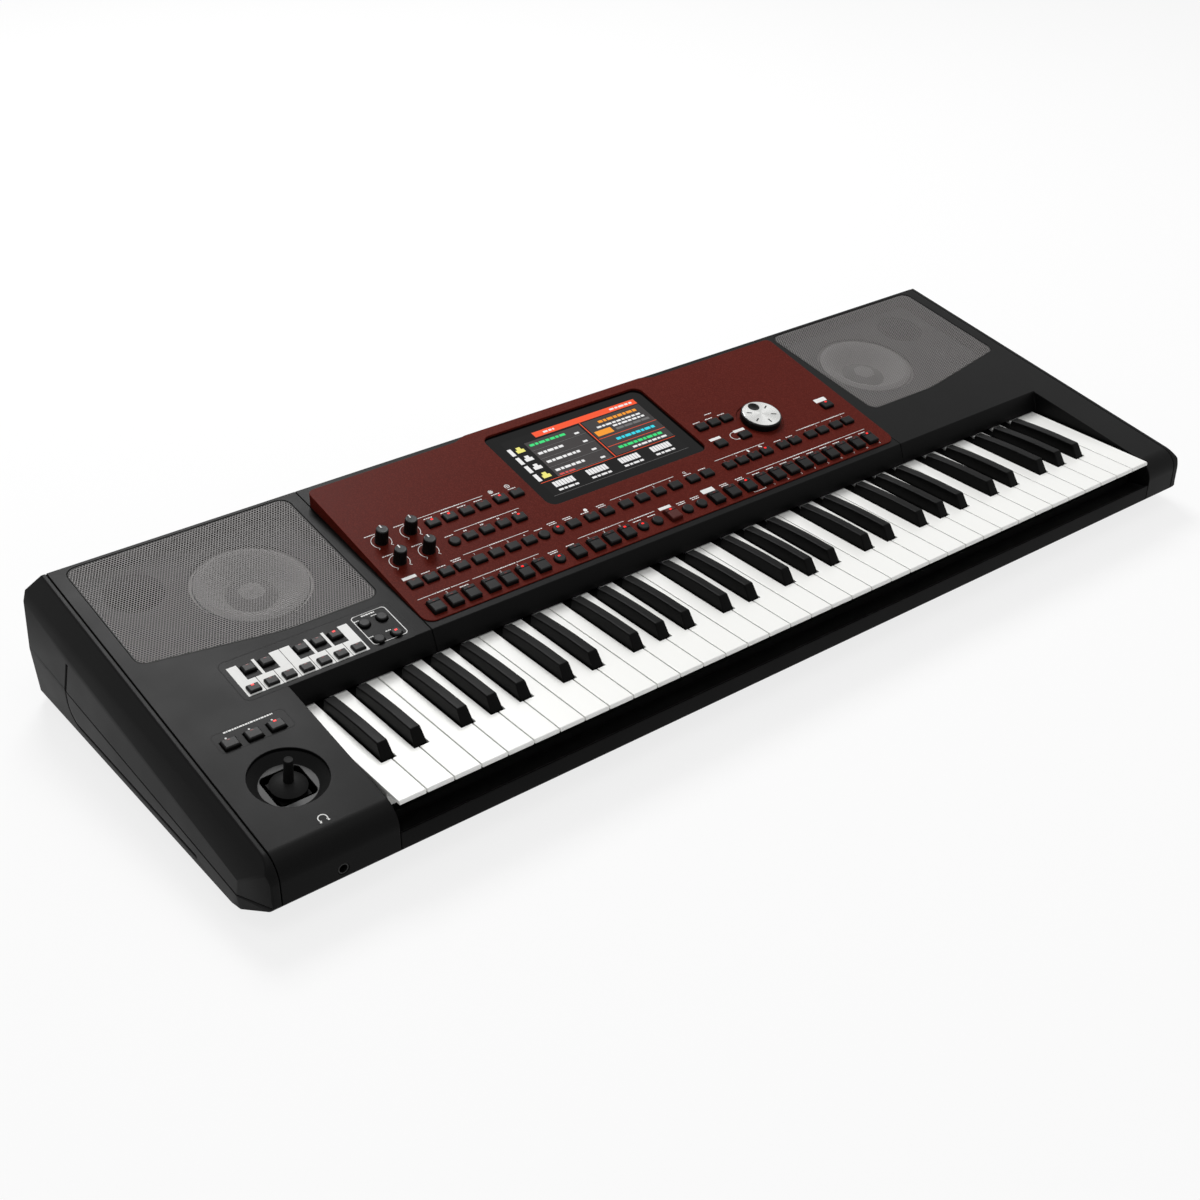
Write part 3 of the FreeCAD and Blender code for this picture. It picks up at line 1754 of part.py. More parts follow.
def case_nodes():
    """Every fixed piece."""
    return {
        "bottom_case": bottom_case(),
        "left_top_case": left_top_case(),
        "centre_top_case": centre_top_case(),
        "right_top_case": right_top_case(),
        "left_side_cheek": side_cheek(-1),
        "right_side_cheek": side_cheek(1),
        "key_slip": key_slip(),
        "control_panel": control_panel(),
        "display_glass": display_glass(),
        "lcd_module": lcd_module(),
        "left_grille": grille(-1),
        "right_grille": grille(1),
        "woofer_frames": group([woofer_frame(-1), woofer_frame(1)]),
        "port_tubes": group([port_tube(-1), port_tube(1)]),
        "joystick_housing": joystick_housing(),
        "keybed_frame": keybed_frame(),
        "key_contact_board": key_contact_board(),
        "main_board": main_board(),
        "panel_board": panel_board(),
        "power_supply": power_supply(),
        "jack_panel": jack_panel(),
        "rear_sockets": rear_sockets(),
        "headphone_jack": headphone_jack(),
        "rubber_feet": rubber_feet(),
        "case_screws": case_screws(),
    }


def control_nodes():
    """Knobs, dial, joystick, switch, cones and buttons."""
    names = ["volume_knob", "balance_knob", "left_assign_knob", "right_assign_knob"]
    nodes = {name: knob(x, row) for name, (x, row) in zip(names, knob_places())}
    nodes["value_dial"] = value_dial()
    nodes["dial_cap"] = dial_cap()
    nodes["joystick_gimbal"] = joystick_gimbal()
    nodes["joystick_stick"] = joystick_stick()
    nodes["power_switch"] = power_switch()
    nodes["woofer_cones"] = group([woofer_cone(-1), woofer_cone(1)])
    for name, banks in panel_button_nodes.items():
        nodes[name] = group([placed(button, panel_frame) for button in bank_shapes(banks)])
    for name, banks in cheek_button_nodes.items():
        nodes[name] = group([placed(button, top_frame) for button in bank_shapes(banks)])
    return nodes


def key_nodes():
    """Middle octave key by key, the keys below and above it in groups by colour."""
    white_names = ["key_c", "key_d", "key_e", "key_f", "key_g", "key_a", "key_b"]
    black_names = ["key_d_flat", "key_e_flat", "key_g_flat", "key_a_flat", "key_b_flat"]
    middle_octave = white_count // octave_whites // 2
    first_white = middle_octave * octave_whites
    first_black = middle_octave * len(black_names)
    whites = [white_key(index) for index in range(white_count)]
    blacks = [black_key(centre) for centre in black_centres()]
    nodes = {
        "lower_white_keys": group(whites[:first_white]),
        "lower_black_keys": group(blacks[:first_black]),
        "upper_white_keys": group(whites[first_white + len(white_names):]),
        "upper_black_keys": group(blacks[first_black + len(black_names):]),
    }
    for index, name in enumerate(white_names):
        nodes[name] = whites[first_white + index]
    for index, name in enumerate(black_names):
        nodes[name] = blacks[first_black + index]
    return nodes


def main():
    os.makedirs("parts", exist_ok=True)
    nodes = {**case_nodes(), **control_nodes(), **key_nodes()}
    for name, shape in nodes.items():
        shape.exportStep("parts/" + name + ".step")


main()
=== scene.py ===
"""Dressed scene of a 61-key arranger keyboard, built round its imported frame.

Sizes in the classes are in millimetres, and the scene itself is in metres.
"""

import logging
import math
from contextlib import contextmanager
from dataclasses import dataclass, field
from enum import Enum
from functools import lru_cache
from typing import Callable, Iterator, Sequence, Union

import bmesh
import bpy
from mathutils import Matrix, Quaternion, Vector


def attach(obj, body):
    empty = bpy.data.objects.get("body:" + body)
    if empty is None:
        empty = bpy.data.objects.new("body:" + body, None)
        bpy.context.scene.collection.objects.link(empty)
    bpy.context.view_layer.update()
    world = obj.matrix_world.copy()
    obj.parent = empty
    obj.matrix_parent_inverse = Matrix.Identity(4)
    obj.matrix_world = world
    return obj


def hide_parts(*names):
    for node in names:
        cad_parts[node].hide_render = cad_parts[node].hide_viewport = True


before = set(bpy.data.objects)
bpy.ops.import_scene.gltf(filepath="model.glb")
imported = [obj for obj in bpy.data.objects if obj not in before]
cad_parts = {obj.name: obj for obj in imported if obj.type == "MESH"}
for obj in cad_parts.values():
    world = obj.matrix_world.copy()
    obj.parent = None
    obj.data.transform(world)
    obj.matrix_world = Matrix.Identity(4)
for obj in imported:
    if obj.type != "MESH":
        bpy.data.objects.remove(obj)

LOG = logging.getLogger("keyboard")
MM = 0.001
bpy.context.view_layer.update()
WHITE = (1.0, 1.0, 1.0, 1.0)
Colour = tuple[float, float, float, float]
Piece = bpy.types.Object
Face = bpy.types.MeshPolygon
Material = bpy.types.Material


def linear(code: str, gain: float = 1.0) -> Colour:
    """Gives a hex colour as linear light.

    Args:
        code: Six hex digits of the colour as it is seen.
        gain: Factor on its brightness.

    Returns:
        Red, green, blue and a full alpha.
    """
    parts = [int(code[i:i + 2], 16) / 255 for i in (0, 2, 4)]
    lit = [p / 12.92 if p <= 0.04045 else ((p + 0.055) / 1.055) ** 2.4 for p in parts]
    return (lit[0] * gain, lit[1] * gain, lit[2] * gain, 1.0)


def turned(reach: float, bearing: float) -> tuple[float, float]:
    """Gives the place at a reach and a bearing in degrees."""
    lean = math.radians(bearing)
    return reach * math.cos(lean), reach * math.sin(lean)


class Socket:
    """An output of a material's nodes that works in Python sums."""

    def __init__(self, graph: "Graph", link: bpy.types.NodeSocket) -> None:
        """Keeps the graph and the output."""
        self.graph = graph
        self.link = link

    def __add__(self, other: "Value") -> "Socket":
        """Adds a value."""
        return self.graph.maths("ADD", self, other)

    def __radd__(self, other: "Value") -> "Socket":
        """Is added to a value."""
        return self.graph.maths("ADD", other, self)

    def __mul__(self, other: "Value") -> "Socket":
        """Multiplies by a value."""
        return self.graph.maths("MULTIPLY", self, other)

    def __rmul__(self, other: "Value") -> "Socket":
        """Multiplies a value."""
        return self.graph.maths("MULTIPLY", other, self)

    def __gt__(self, other: "Value") -> "Socket":
        """Is 1 where it is above a value."""
        return self.graph.maths("GREATER_THAN", self, other)

    def __lt__(self, other: "Value") -> "Socket":
        """Is 1 where it is below a value."""
        return self.graph.maths("LESS_THAN", self, other)


Value = Union[Socket, float]


class Graph:
    """The nodes of one procedural material, or of the room."""

    def __init__(self, name: str, room: bool = False) -> None:
        """Starts an empty material or room.

        Args:
            name: The block's name.
            room: Whether it is the room instead of a material.
        """
        self.block = (bpy.data.worlds if room else bpy.data.materials).new(name)
        self.block.use_nodes = True
        self.tree = self.block.node_tree
        self.tree.nodes.clear()

    def node(self, kind: str, inputs: dict | None = None, **settings: object) -> bpy.types.Node:
        """Adds any node.

        Args:
            kind: The node's type.
            inputs: Values or links of its sockets, by name or number.
            **settings: Its properties, set first.

        Returns:
            The node.
        """
        made = self.tree.nodes.new(kind)
        for key, value in settings.items():
            setattr(made, key, value)
        for key, value in (inputs or {}).items():
            if isinstance(value, Socket):
                self.tree.links.new(value.link, made.inputs[key])
            else:
                made.inputs[key].default_value = value
        return made

    def value(self, kind: str, inputs: dict | None = None, key: str | int = 0, **settings: object) -> Socket:
        """Adds any node and gives one of its outputs."""
        return Socket(self, self.node(kind, inputs, **settings).outputs[key])

    def maths(self, operation: str, first: Value, second: Value) -> Socket:
        """Joins two values by a Math node."""
        return self.value("ShaderNodeMath", {0: first, 1: second}, operation=operation)

    def vector(self, operation: str, *inputs: Socket | Sequence[float], key: str | int = 0) -> Socket:
        """Joins vectors by a Vector Math node."""
        return self.value("ShaderNodeVectorMath", dict(enumerate(inputs)), key, operation=operation)

    def place(self) -> Socket:
        """Gives the piece's own coordinates."""
        return self.value("ShaderNodeTexCoord", key="Object")

    def stretch(self, scale: Sequence[float]) -> Socket:
        """Gives the piece's own coordinates, scaled along its axes."""
        return self.value("ShaderNodeMapping", {"Vector": self.place(), "Scale": scale})

    def noise(self, spot: Socket, size: float, detail: float = 2.0) -> Socket:
        """Gives noise whose lumps are about a size in millimetres."""
        inputs = {"Vector": spot, "Scale": 1.0 / (size * MM), "Detail": detail}
        return self.value("ShaderNodeTexNoise", inputs)

    def mix(self, share: Value, first: Socket | Colour, second: Socket | Colour) -> Socket:
        """Mixes two colours by a share."""
        return self.value("ShaderNodeMix", {0: share, 6: first, 7: second}, 2, data_type="RGBA")

    def bump(self, height: Socket, depth: float) -> Socket:
        """Gives the normal of a relief of a depth in millimetres."""
        return self.value("ShaderNodeBump", {"Height": height, "Distance": depth * MM})

    def seen(self, *rays: str) -> Socket:
        """Is 1 for any of the named kinds of ray.

        Args:
            *rays: Kinds such as Camera or Glossy.

        Returns:
            The share, 0 or 1.
        """
        kinds = [self.value("ShaderNodeLightPath", key=f"Is {ray} Ray") for ray in rays]
        either = kinds[0]
        for kind in kinds[1:]:
            either = self.maths("MAXIMUM", either, kind)
        return either

    def close(self, surface: Socket, kind: str = "Material") -> Material:
        """Closes the tree with a shader and gives the material."""
        self.node(f"ShaderNodeOutput{kind}", {"Surface": surface})
        return self.block

    def finish(self, **inputs: Value | Colour) -> Material:
        """Closes the material with its surface shader.

        Args:
            **inputs: The shader's sockets, with underscores for spaces.

        Returns:
            The material.
        """
        named = {key.replace("_", " "): value for key, value in inputs.items()}
        return self.close(self.value("ShaderNodeBsdfPrincipled", named))


@dataclass(frozen=True)
class Coat:
    """A finish with a name and a main colour."""

    name: str
    colour: str

    @lru_cache(maxsize=None)
    def material(self) -> Material:
        """Builds the finish once."""
        return self.lay(Graph(self.name))

    def lay(self, graph: Graph) -> Material:
        """Lays the finish's nodes; each kind has its own."""
        raise NotImplementedError

    def tones(self, graph: Graph, share: Value, low: float, high: float) -> Socket:
        """Mixes two brightnesses of the colour by a share."""
        return graph.mix(share, linear(self.colour, low), linear(self.colour, high))


@dataclass(frozen=True)
class GrainedPlastic(Coat):
    """Moulded plastic with a fine spark-eroded grain."""

    roughness: float = 0.5
    grain: float = 0.7
    depth: float = 0.03
    gloss: float = 0.35
    mottle: float = 0.16

    def lay(self, graph: Graph) -> Material:
        """Lays grain and soft clouds.

        Args:
            graph: The material's empty nodes.

        Returns:
            The material.
        """
        spot = graph.place()
        grain = graph.noise(spot, self.grain, 3.0)
        cloud = graph.noise(spot, 45.0)
        tint = self.tones(graph, grain * 0.6 + cloud * 0.4, 1 - self.mottle, 1 + self.mottle)
        return graph.finish(Base_Color=tint, Roughness=self.roughness - 0.06 + cloud * 0.12,
                            Specular_IOR_Level=self.gloss, Normal=graph.bump(grain, self.depth))


@dataclass(frozen=True)
class FlakePaint(Coat):
    """Metallic paint whose flakes catch the light one by one, drawn as lighter specks painted into the colour
    as glints.
    """

    flake_colour: str
    flake: float
    roughness: float = 0.42

    def lay(self, graph: Graph) -> Material:
        """Lays flakes, lighter specks of painted glint, in a clouded base.

        Args:
            graph: The material's empty nodes.

        Returns:
            The material.
        """
        spot = graph.place()
        inputs = {"Vector": spot, "Scale": 1.0 / (self.flake * MM)}
        cells = graph.value("ShaderNodeTexVoronoi", inputs, "Color")
        chance = graph.value("ShaderNodeSeparateColor", {"Color": cells})
        base = self.tones(graph, graph.noise(spot, 60.0), 0.9, 1.1)
        # The flakes are real, but their lighter tone is painted glint: about a quarter of the cells get the
        # lighter colour.
        tint = graph.mix((chance > 0.72) * 0.4, base, linear(self.flake_colour))
        return graph.finish(Base_Color=tint, Roughness=self.roughness + chance * 0.14,
                            Specular_IOR_Level=0.035, Coat_Weight=0.01, Coat_Roughness=0.25,
                            Normal=graph.bump(chance, 0.012))


@dataclass(frozen=True)
class KeyPlastic(Coat):
    """Smooth polished plastic of the white keys."""

    roughness: float = 0.28

    def lay(self, graph: Graph) -> Material:
        """Lays a faint haze.

        Args:
            graph: The material's empty nodes.

        Returns:
            The material.
        """
        spot = graph.place()
        haze = graph.noise(spot, 3.0)
        tint = self.tones(graph, graph.noise(spot, 90.0), 0.985, 1.0)
        return graph.finish(Base_Color=tint, Roughness=self.roughness + haze * 0.08, Specular_IOR_Level=0.45,
                            Coat_Weight=0.15, Coat_Roughness=0.12, Normal=graph.bump(haze, 0.006))


@dataclass(frozen=True)
class PaintedMetal(Coat):
    """Powder-coated or bare sheet metal."""

    roughness: float = 0.5
    metallic: float = 0.0
    grain: float = 0.5
    stretch: tuple[float, float, float] = (1.0, 1.0, 1.0)

    def lay(self, graph: Graph) -> Material:
        """Lays grain along the sheet.

        Args:
            graph: The material's empty nodes.

        Returns:
            The material.
        """
        grain = graph.noise(graph.stretch(self.stretch), self.grain, 3.0)
        tint = self.tones(graph, grain * 0.7 + graph.noise(graph.place(), 25.0) * 0.3, 0.85, 1.12)
        return graph.finish(Base_Color=tint, Roughness=self.roughness - 0.08 + grain * 0.16,
                            Metallic=self.metallic, Specular_IOR_Level=0.2, Normal=graph.bump(grain, 0.01))


@dataclass(frozen=True)
class TurnedMetal(Coat):
    """Metal turned on a lathe: rings of fine grooves round one centre."""

    centre: tuple[float, float, float]
    tilt: float

    def lay(self, graph: Graph) -> Material:
        """Lays rings, and rays of painted highlight in the colour, where the rings would throw reflections.

        Args:
            graph: The material's empty nodes.

        Returns:
            The material.
        """
        moved = graph.vector("SUBTRACT", graph.place(), self.centre)
        spot = graph.value("ShaderNodeMapping", {"Vector": moved, "Rotation": (-self.tilt, 0.0, 0.0)})
        flat = graph.vector("MULTIPLY", spot, (1, 1, 0))
        reach = graph.vector("LENGTH", flat, key="Value")
        groove = graph.value("ShaderNodeTexNoise", {"W": reach, "Scale": 2600.0, "Detail": 2.0},
                             noise_dimensions="1D")
        x, y = (graph.value("ShaderNodeSeparateXYZ", {"Vector": flat}, axis) for axis in (0, 1))
        # Painted highlight: bright and dark rays round the centre are painted into the colour as the
        # reflections of the turned rings.
        rays = graph.maths("SINE", graph.maths("ARCTAN2", y, x) * 3.0 + 0.6, 0.0) * 0.5 + 0.5
        tint = self.tones(graph, groove * 0.45 + rays * 0.55, 0.62, 1.0)
        return graph.finish(Base_Color=tint, Roughness=groove * 0.16 + 0.2, Metallic=0.85,
                            Normal=graph.bump(groove, 0.02))


@dataclass(frozen=True)
class DarkGlass(Coat):
    """Glossy black cover glass, with the faint film of dust that glass keeps."""

    roughness: float = 0.07

    def lay(self, graph: Graph) -> Material:
        """Lays the film.

        Args:
            graph: The material's empty nodes.

        Returns:
            The material.
        """
        film = graph.noise(graph.place(), 30.0, 4.0)
        return graph.finish(Base_Color=self.tones(graph, film, 0.8, 1.2),
                            Roughness=film * 0.06 + self.roughness, Specular_IOR_Level=0.1)


@dataclass(frozen=True)
class Ink(Coat):
    """Screen-printed ink, a little uneven where the mesh let it through."""

    roughness: float = 0.55

    def lay(self, graph: Graph) -> Material:
        """Lays the uneven film.

        Args:
            graph: The material's empty nodes.

        Returns:
            The material.
        """
        film = graph.noise(graph.place(), 0.5, 3.0)
        return graph.finish(Base_Color=self.tones(graph, film, 0.9, 1.0),
                            Roughness=film * 0.1 + self.roughness, Specular_IOR_Level=0.2)


@dataclass(frozen=True)
class Glow(Coat):
    """A lamp or a lit field of the screen, with its fine cells."""

    strength: float = 1.0
    body: str = "100404"

    def lay(self, graph: Graph) -> Material:
        """Lays the lit cells.

        Args:
            graph: The material's empty nodes.

        Returns:
            The material.
        """
        cell = graph.noise(graph.place(), 0.35)
        tint = self.tones(graph, cell, 0.85, 1.0)
        return graph.finish(Base_Color=linear(self.body), Roughness=cell * 0.1 + 0.25,
                            Specular_IOR_Level=0.2, Emission_Color=tint, Emission_Strength=self.strength)


@dataclass(frozen=True)
class CircuitBoard(Coat):
    """Solder-masked board with its traces."""

    trace: str

    def lay(self, graph: Graph) -> Material:
        """Lays the traces.

        Args:
            graph: The material's empty nodes.

        Returns:
            The material.
        """
        spot, black = graph.place(), (0.0, 0.0, 0.0, 1.0)
        inputs = {"Vector": spot, "Scale": 90.0, "Mortar Size": 0.035, "Color1": black, "Color2": black,
                  "Mortar": WHITE}
        mask = graph.value("ShaderNodeTexBrick", inputs, 1, offset=0.37)
        tint = graph.mix(mask * 0.6 + graph.noise(spot, 12.0) * 0.25, linear(self.colour), linear(self.trace))
        return graph.finish(Base_Color=tint, Roughness=mask * -0.1 + 0.42, Normal=graph.bump(mask, 0.03))


@dataclass(frozen=True)
class PaperPulp(Coat):
    """Pressed paper pulp of a loudspeaker cone."""

    def lay(self, graph: Graph) -> Material:
        """Lays the fibres.

        Args:
            graph: The material's empty nodes.

        Returns:
            The material.
        """
        fibre = graph.noise(graph.stretch((1.0, 3.0, 2.0)), 1.6, 6.0)
        return graph.finish(Base_Color=self.tones(graph, fibre, 0.8, 1.15), Roughness=fibre * 0.1 + 0.75,
                            Normal=graph.bump(fibre, 0.12))


class Finish(Enum):
    """The finishes of this keyboard."""

    CASE = GrainedPlastic("case_black", "0a0a0a", 0.4, gloss=0.065)
    BOTTOM = GrainedPlastic("bottom_black", "0a0a0a", 0.5, gloss=0.08)
    WELL = GrainedPlastic("well_black", "060606", 0.55, gloss=0.06)
    # The panel's third colour is the painted glint of its flakes.
    PANEL = FlakePaint("panel_red", "50160e", "702e25", 0.6)
    BUTTON = GrainedPlastic("button_black", "0c0c0c", 0.42, 0.5, 0.015, 0.14)
    RED_BUTTON = GrainedPlastic("button_red", "481914", 0.44, 0.5, 0.015, 0.14)
    KNOB = GrainedPlastic("knob_black", "080808", 0.38, 0.5, 0.01, 0.16)
    WHITE_KEY = KeyPlastic("white_key", "f6f6f3")
    BLACK_KEY = GrainedPlastic("black_key", "050505", 0.32, 0.8, 0.012, 0.05)
    GRILLE = PaintedMetal("grille_grey", "7e7b7a", 0.5)
    # Dark grey of the grille's rim, a painted shadow of the gap round the grille.
    RIM = PaintedMetal("grille_rim", "2c2b2a", 0.55)
    SPEAKER = PaintedMetal("speaker_metal", "8a8886", 0.45, 0.2)
    CONE = PaperPulp("cone_paper", "acaaa9")
    # Darker grey painted on the ring round each dust cap as painted shade.
    NECK = PaperPulp("cone_neck", "706f6e")
    BAFFLE = GrainedPlastic("baffle_grey", "4a4a4a", 0.6, gloss=0.06)
    RUBBER = GrainedPlastic("rubber_black", "080808", 0.6, 0.4, 0.03, 0.12)
    GLASS = DarkGlass("glass_dark", "080808")
    SCREEN = DarkGlass("lcd_field", "0c0c0c", 0.12)
    BOARD = CircuitBoard("board_green", "0f3d22", "2f7a4a")
    SUPPLY = PaintedMetal("supply_metal", "a9acad", 0.4, 0.8, 0.4, (1.0, 6.0, 1.0))
    STEEL = PaintedMetal("screw_steel", "7d7f80", 0.32, 0.9, 0.4)
    CHASSIS = PaintedMetal("chassis_black", "0b0b0b", 0.5)
    # Lighter grey painted on the joystick bowl's floor as a painted reflection of the lamps.
    INNER = GrainedPlastic("inner_plastic", "333333", 0.55)
    BAY = GrainedPlastic("bay_black", "161616", 0.5)
    SOCKET = GrainedPlastic("socket_black", "101010", 0.42, 0.4, 0.01)
    DIAL = TurnedMetal("dial_silver", "e8e8e6", (0.16148, 0.0475, 0.1103), math.radians(12.82))
    INK = Ink("print_white", "f0f0ee")
    DARK_INK = Ink("print_dark", "070707", 0.6)
    DIMPLE = DarkGlass("dimple_black", "050505", 0.15)
    LAMP_ON = Glow("lamp_lit", "ff1208", 1.6)
    LAMP_OFF = Glow("lamp_dark", "6a100c", 0.55, "3a0604")
    UI_ORANGE = Glow("screen_orange", "ff4f10")
    UI_WHITE = Glow("screen_white", "f2f2f2")
    UI_ROW = Glow("screen_row", "262626")
    UI_GREEN = Glow("screen_green", "22e67c")
    UI_GREY = Glow("screen_grey", "6a6a6a")
    UI_YELLOW = Glow("screen_yellow", "f5ee7a")
    UI_AMBER = Glow("screen_amber", "ff9d0a")
    UI_CYAN = Glow("screen_cyan", "18dff2")
    UI_RED = Glow("screen_red", "d8423e")

    def material(self) -> Material:
        """Gives the finish's material."""
        return self.value.material()


@dataclass(frozen=True)
class Plane:
    """A sloping face of the keyboard, with X across and rows up the slope."""

    front: float = 0.0
    height: float = 0.0
    slope: float = 0.0

    def matrix(self, x: float, row: float, lift: float = 0.0) -> Matrix:
        """Gives the place and turn of a point on the face.

        Args:
            x: Place across, in millimetres.
            row: Place up the slope from the front edge.
            lift: Height above the face.

        Returns:
            The matrix, in metres.
        """
        tilt = Matrix.Rotation(math.radians(self.slope), 4, "X")
        base = Matrix.Translation((0.0, self.front * MM, self.height * MM)) @ tilt
        return base @ Matrix.Translation((x * MM, row * MM, lift * MM))

    @lru_cache(maxsize=None)
    def inverse(self) -> Matrix:
        """Gives the matrix from the scene to the face."""
        return self.matrix(0.0, 0.0).inverted()

    def local(self, spot: Vector) -> Vector:
        """Gives a point as place across, row and lift in millimetres."""
        return (self.inverse() @ spot) / MM

    def floors(self, face: Face, low: float, high: float) -> bool:
        """Says whether a mesh face looks up from this plane and lies between two lifts."""
        return low < self.local(face.center).z < high and (self.inverse().to_3x3() @ face.normal).z > 0.95


TOP = Plane(-40.4, 82.888, 9.34)
PANEL = Plane(-34.0, 84.94, 12.82)
PANEL_EDGE = 0.5


class Bench:
    """Hand tools of the modeller: each one works on one selected piece."""

    weld = 2e-6
    flatness = 0.4
    above = 50.0

    @staticmethod
    def only(piece: Piece) -> None:
        """Selects one piece and nothing else.

        Args:
            piece: The piece to work on.
        """
        bpy.ops.object.select_all(action="DESELECT")
        piece.select_set(True)
        bpy.context.view_layer.objects.active = piece

    @staticmethod
    @contextmanager
    def editing(piece: Piece, kind: str = "FACE") -> Iterator[None]:
        """Opens a piece in edit mode with nothing selected, and closes it at the end.

        Args:
            piece: The mesh to shape.
            kind: What is selected: VERT, EDGE or FACE.
        """
        Bench.only(piece)
        bpy.ops.object.mode_set(mode="EDIT")
        bpy.ops.mesh.select_mode(type=kind)
        bpy.ops.mesh.select_all(action="DESELECT")
        yield
        bpy.ops.object.mode_set(mode="OBJECT")

    @staticmethod
    def pick(piece: Piece, test: Callable, kind: str = "faces") -> None:
        """Selects the elements of an open piece that pass a test.

        Args:
            piece: The piece in edit mode.
            test: Says yes or no for one element.
            kind: "faces" or "verts".
        """
        bpy.ops.mesh.select_all(action="DESELECT")
        mesh = bmesh.from_edit_mesh(piece.data)
        for part in getattr(mesh, kind):
            if test(part):
                part.select_set(True)
        bmesh.update_edit_mesh(piece.data)

    @staticmethod
    def shift(x: float, y: float, z: float) -> None:
        """Moves what is selected, by millimetres."""
        bpy.ops.transform.translate(value=(x * MM, y * MM, z * MM))

    @staticmethod
    def pull(x: float, y: float, z: float) -> None:
        """Extrudes what is selected, by millimetres."""
        bpy.ops.mesh.extrude_region_move(TRANSFORM_OT_translate={"value": (x * MM, y * MM, z * MM)})

    @staticmethod
    def sink(inset: float, drop: float) -> None:
        """Insets what is selected and lowers the middle, by millimetres."""
        bpy.ops.mesh.inset(thickness=inset * MM)
        Bench.shift(0, 0, -drop)

    @staticmethod
    def round_off(width: float, steps: int) -> None:
        """Bevels the border of what is selected, by millimetres."""
        bpy.ops.mesh.bevel(offset=width * MM, segments=steps)

    @staticmethod
    def settle(piece: Piece, name: str) -> Piece:
        """Names a piece and puts its place into its mesh.

        Args:
            piece: The piece.
            name: Its name, and its mesh's.

        Returns:
            The same piece.
        """
        piece.name = piece.data.name = name
        Bench.only(piece)
        bpy.ops.object.transform_apply(location=True, rotation=True, scale=True)
        return piece

    @staticmethod
    def modify(piece: Piece, kind: str, **settings: object) -> None:
        """Adds a modifier with settings and applies it.

        Args:
            piece: The piece.
            kind: The modifier's type.
            **settings: Its properties.
        """
        Bench.only(piece)
        modifier = piece.modifiers.new(kind.lower(), kind)
        for key, value in settings.items():
            setattr(modifier, key, value)
        bpy.ops.object.modifier_apply(modifier=modifier.name)

    @staticmethod
    def bevel(piece: Piece, edge: float, steps: int, angle: float) -> None:
        """Rounds every edge of a piece that is sharper than an angle in degrees."""
        Bench.modify(piece, "BEVEL", width=edge * MM, segments=steps, limit_method="ANGLE",
                     angle_limit=math.radians(angle), use_clamp_overlap=False, loop_slide=False)

    @staticmethod
    def smooth(piece: Piece, angle: float = 42.0) -> None:
        """Shades a piece smooth across edges below an angle, with flat faces kept flat.

        Args:
            piece: The piece.
            angle: The angle in degrees.
        """
        Bench.only(piece)
        bpy.ops.object.shade_smooth_by_angle(angle=math.radians(angle))
        Bench.modify(piece, "WEIGHTED_NORMAL", keep_sharp=True)

    @staticmethod
    def add(kind: str, place: Matrix, name: str, **sizes: object) -> Piece:
        """Adds a primitive to be shaped.

        Args:
            kind: The primitive, such as cube or circle.
            place: Where its middle goes.
            name: The piece's name.
            **sizes: What the primitive is made with.

        Returns:
            The piece.
        """
        bpy.ops.object.select_all(action="DESELECT")
        make = getattr(bpy.ops.mesh, f"primitive_{kind}_add")
        make(location=place.translation, rotation=place.to_euler(), **sizes)
        return Bench.settle(bpy.context.active_object, name)

    @staticmethod
    def cube(size: Sequence[float], place: Matrix, name: str) -> Piece:
        """Adds a block by its three sizes in millimetres."""
        return Bench.add("cube", place, name, size=1.0, scale=[s * MM for s in size])

    @staticmethod
    def drum(radius: float, depth: float, place: Matrix, name: str, sides: int) -> Piece:
        """Adds a round bar by its radius and length in millimetres."""
        return Bench.add("cylinder", place, name, vertices=sides, radius=radius * MM, depth=depth * MM)

    @staticmethod
    def copy(piece: Piece, place: Matrix, name: str) -> Piece:
        """Copies a piece with its own mesh to another place.

        Args:
            piece: The pattern.
            place: Where the copy goes.
            name: The copy's name.

        Returns:
            The copy.
        """
        twin = bpy.data.objects.new(name, piece.data.copy())
        twin.data.transform(place)
        bpy.context.scene.collection.objects.link(twin)
        return twin

    @staticmethod
    def join(pieces: Sequence[Piece], name: str) -> Piece:
        """Joins pieces into the first of them.

        Args:
            pieces: The pieces.
            name: The joined piece's name.

        Returns:
            The joined piece.
        """
        Bench.only(pieces[0])
        for piece in pieces[1:]:
            piece.select_set(True)
        if len(pieces) > 1:
            bpy.ops.object.join()
        return Bench.settle(pieces[0], name)

    @staticmethod
    def drop(piece: Piece) -> None:
        """Deletes a pattern piece that was only copied from."""
        bpy.data.objects.remove(piece, do_unlink=True)

    @staticmethod
    def cast(node: str, name: str, whole: bool = True) -> Piece:
        """Takes a merged copy of a CAD node.

        Args:
            node: The node's name.
            name: The copy's name.
            whole: Whether its flat faces are made whole.

        Returns:
            The copy.
        """
        piece = Bench.copy(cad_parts[node], Matrix(), name)
        piece.data.materials.clear()
        with Bench.editing(piece):
            bpy.ops.mesh.customdata_custom_splitnormals_clear()
            bpy.ops.mesh.select_all(action="SELECT")
            bpy.ops.mesh.remove_doubles(threshold=Bench.weld)
            if whole:
                bpy.ops.mesh.dissolve_limited(angle_limit=math.radians(Bench.flatness))
        return piece

    @staticmethod
    def trim(piece: Piece, node: str) -> None:
        """Presses the corners of a bevelled copy back into its CAD node's box.

        Args:
            piece: The bevelled copy.
            node: The CAD node's name.
        """
        corners = list(zip(*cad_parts[node].bound_box))
        low, high = [min(c) for c in corners], [max(c) for c in corners]
        for vertex in piece.data.vertices:
            vertex.co = [max(a, min(b, c)) for a, b, c in zip(low, high, vertex.co)]

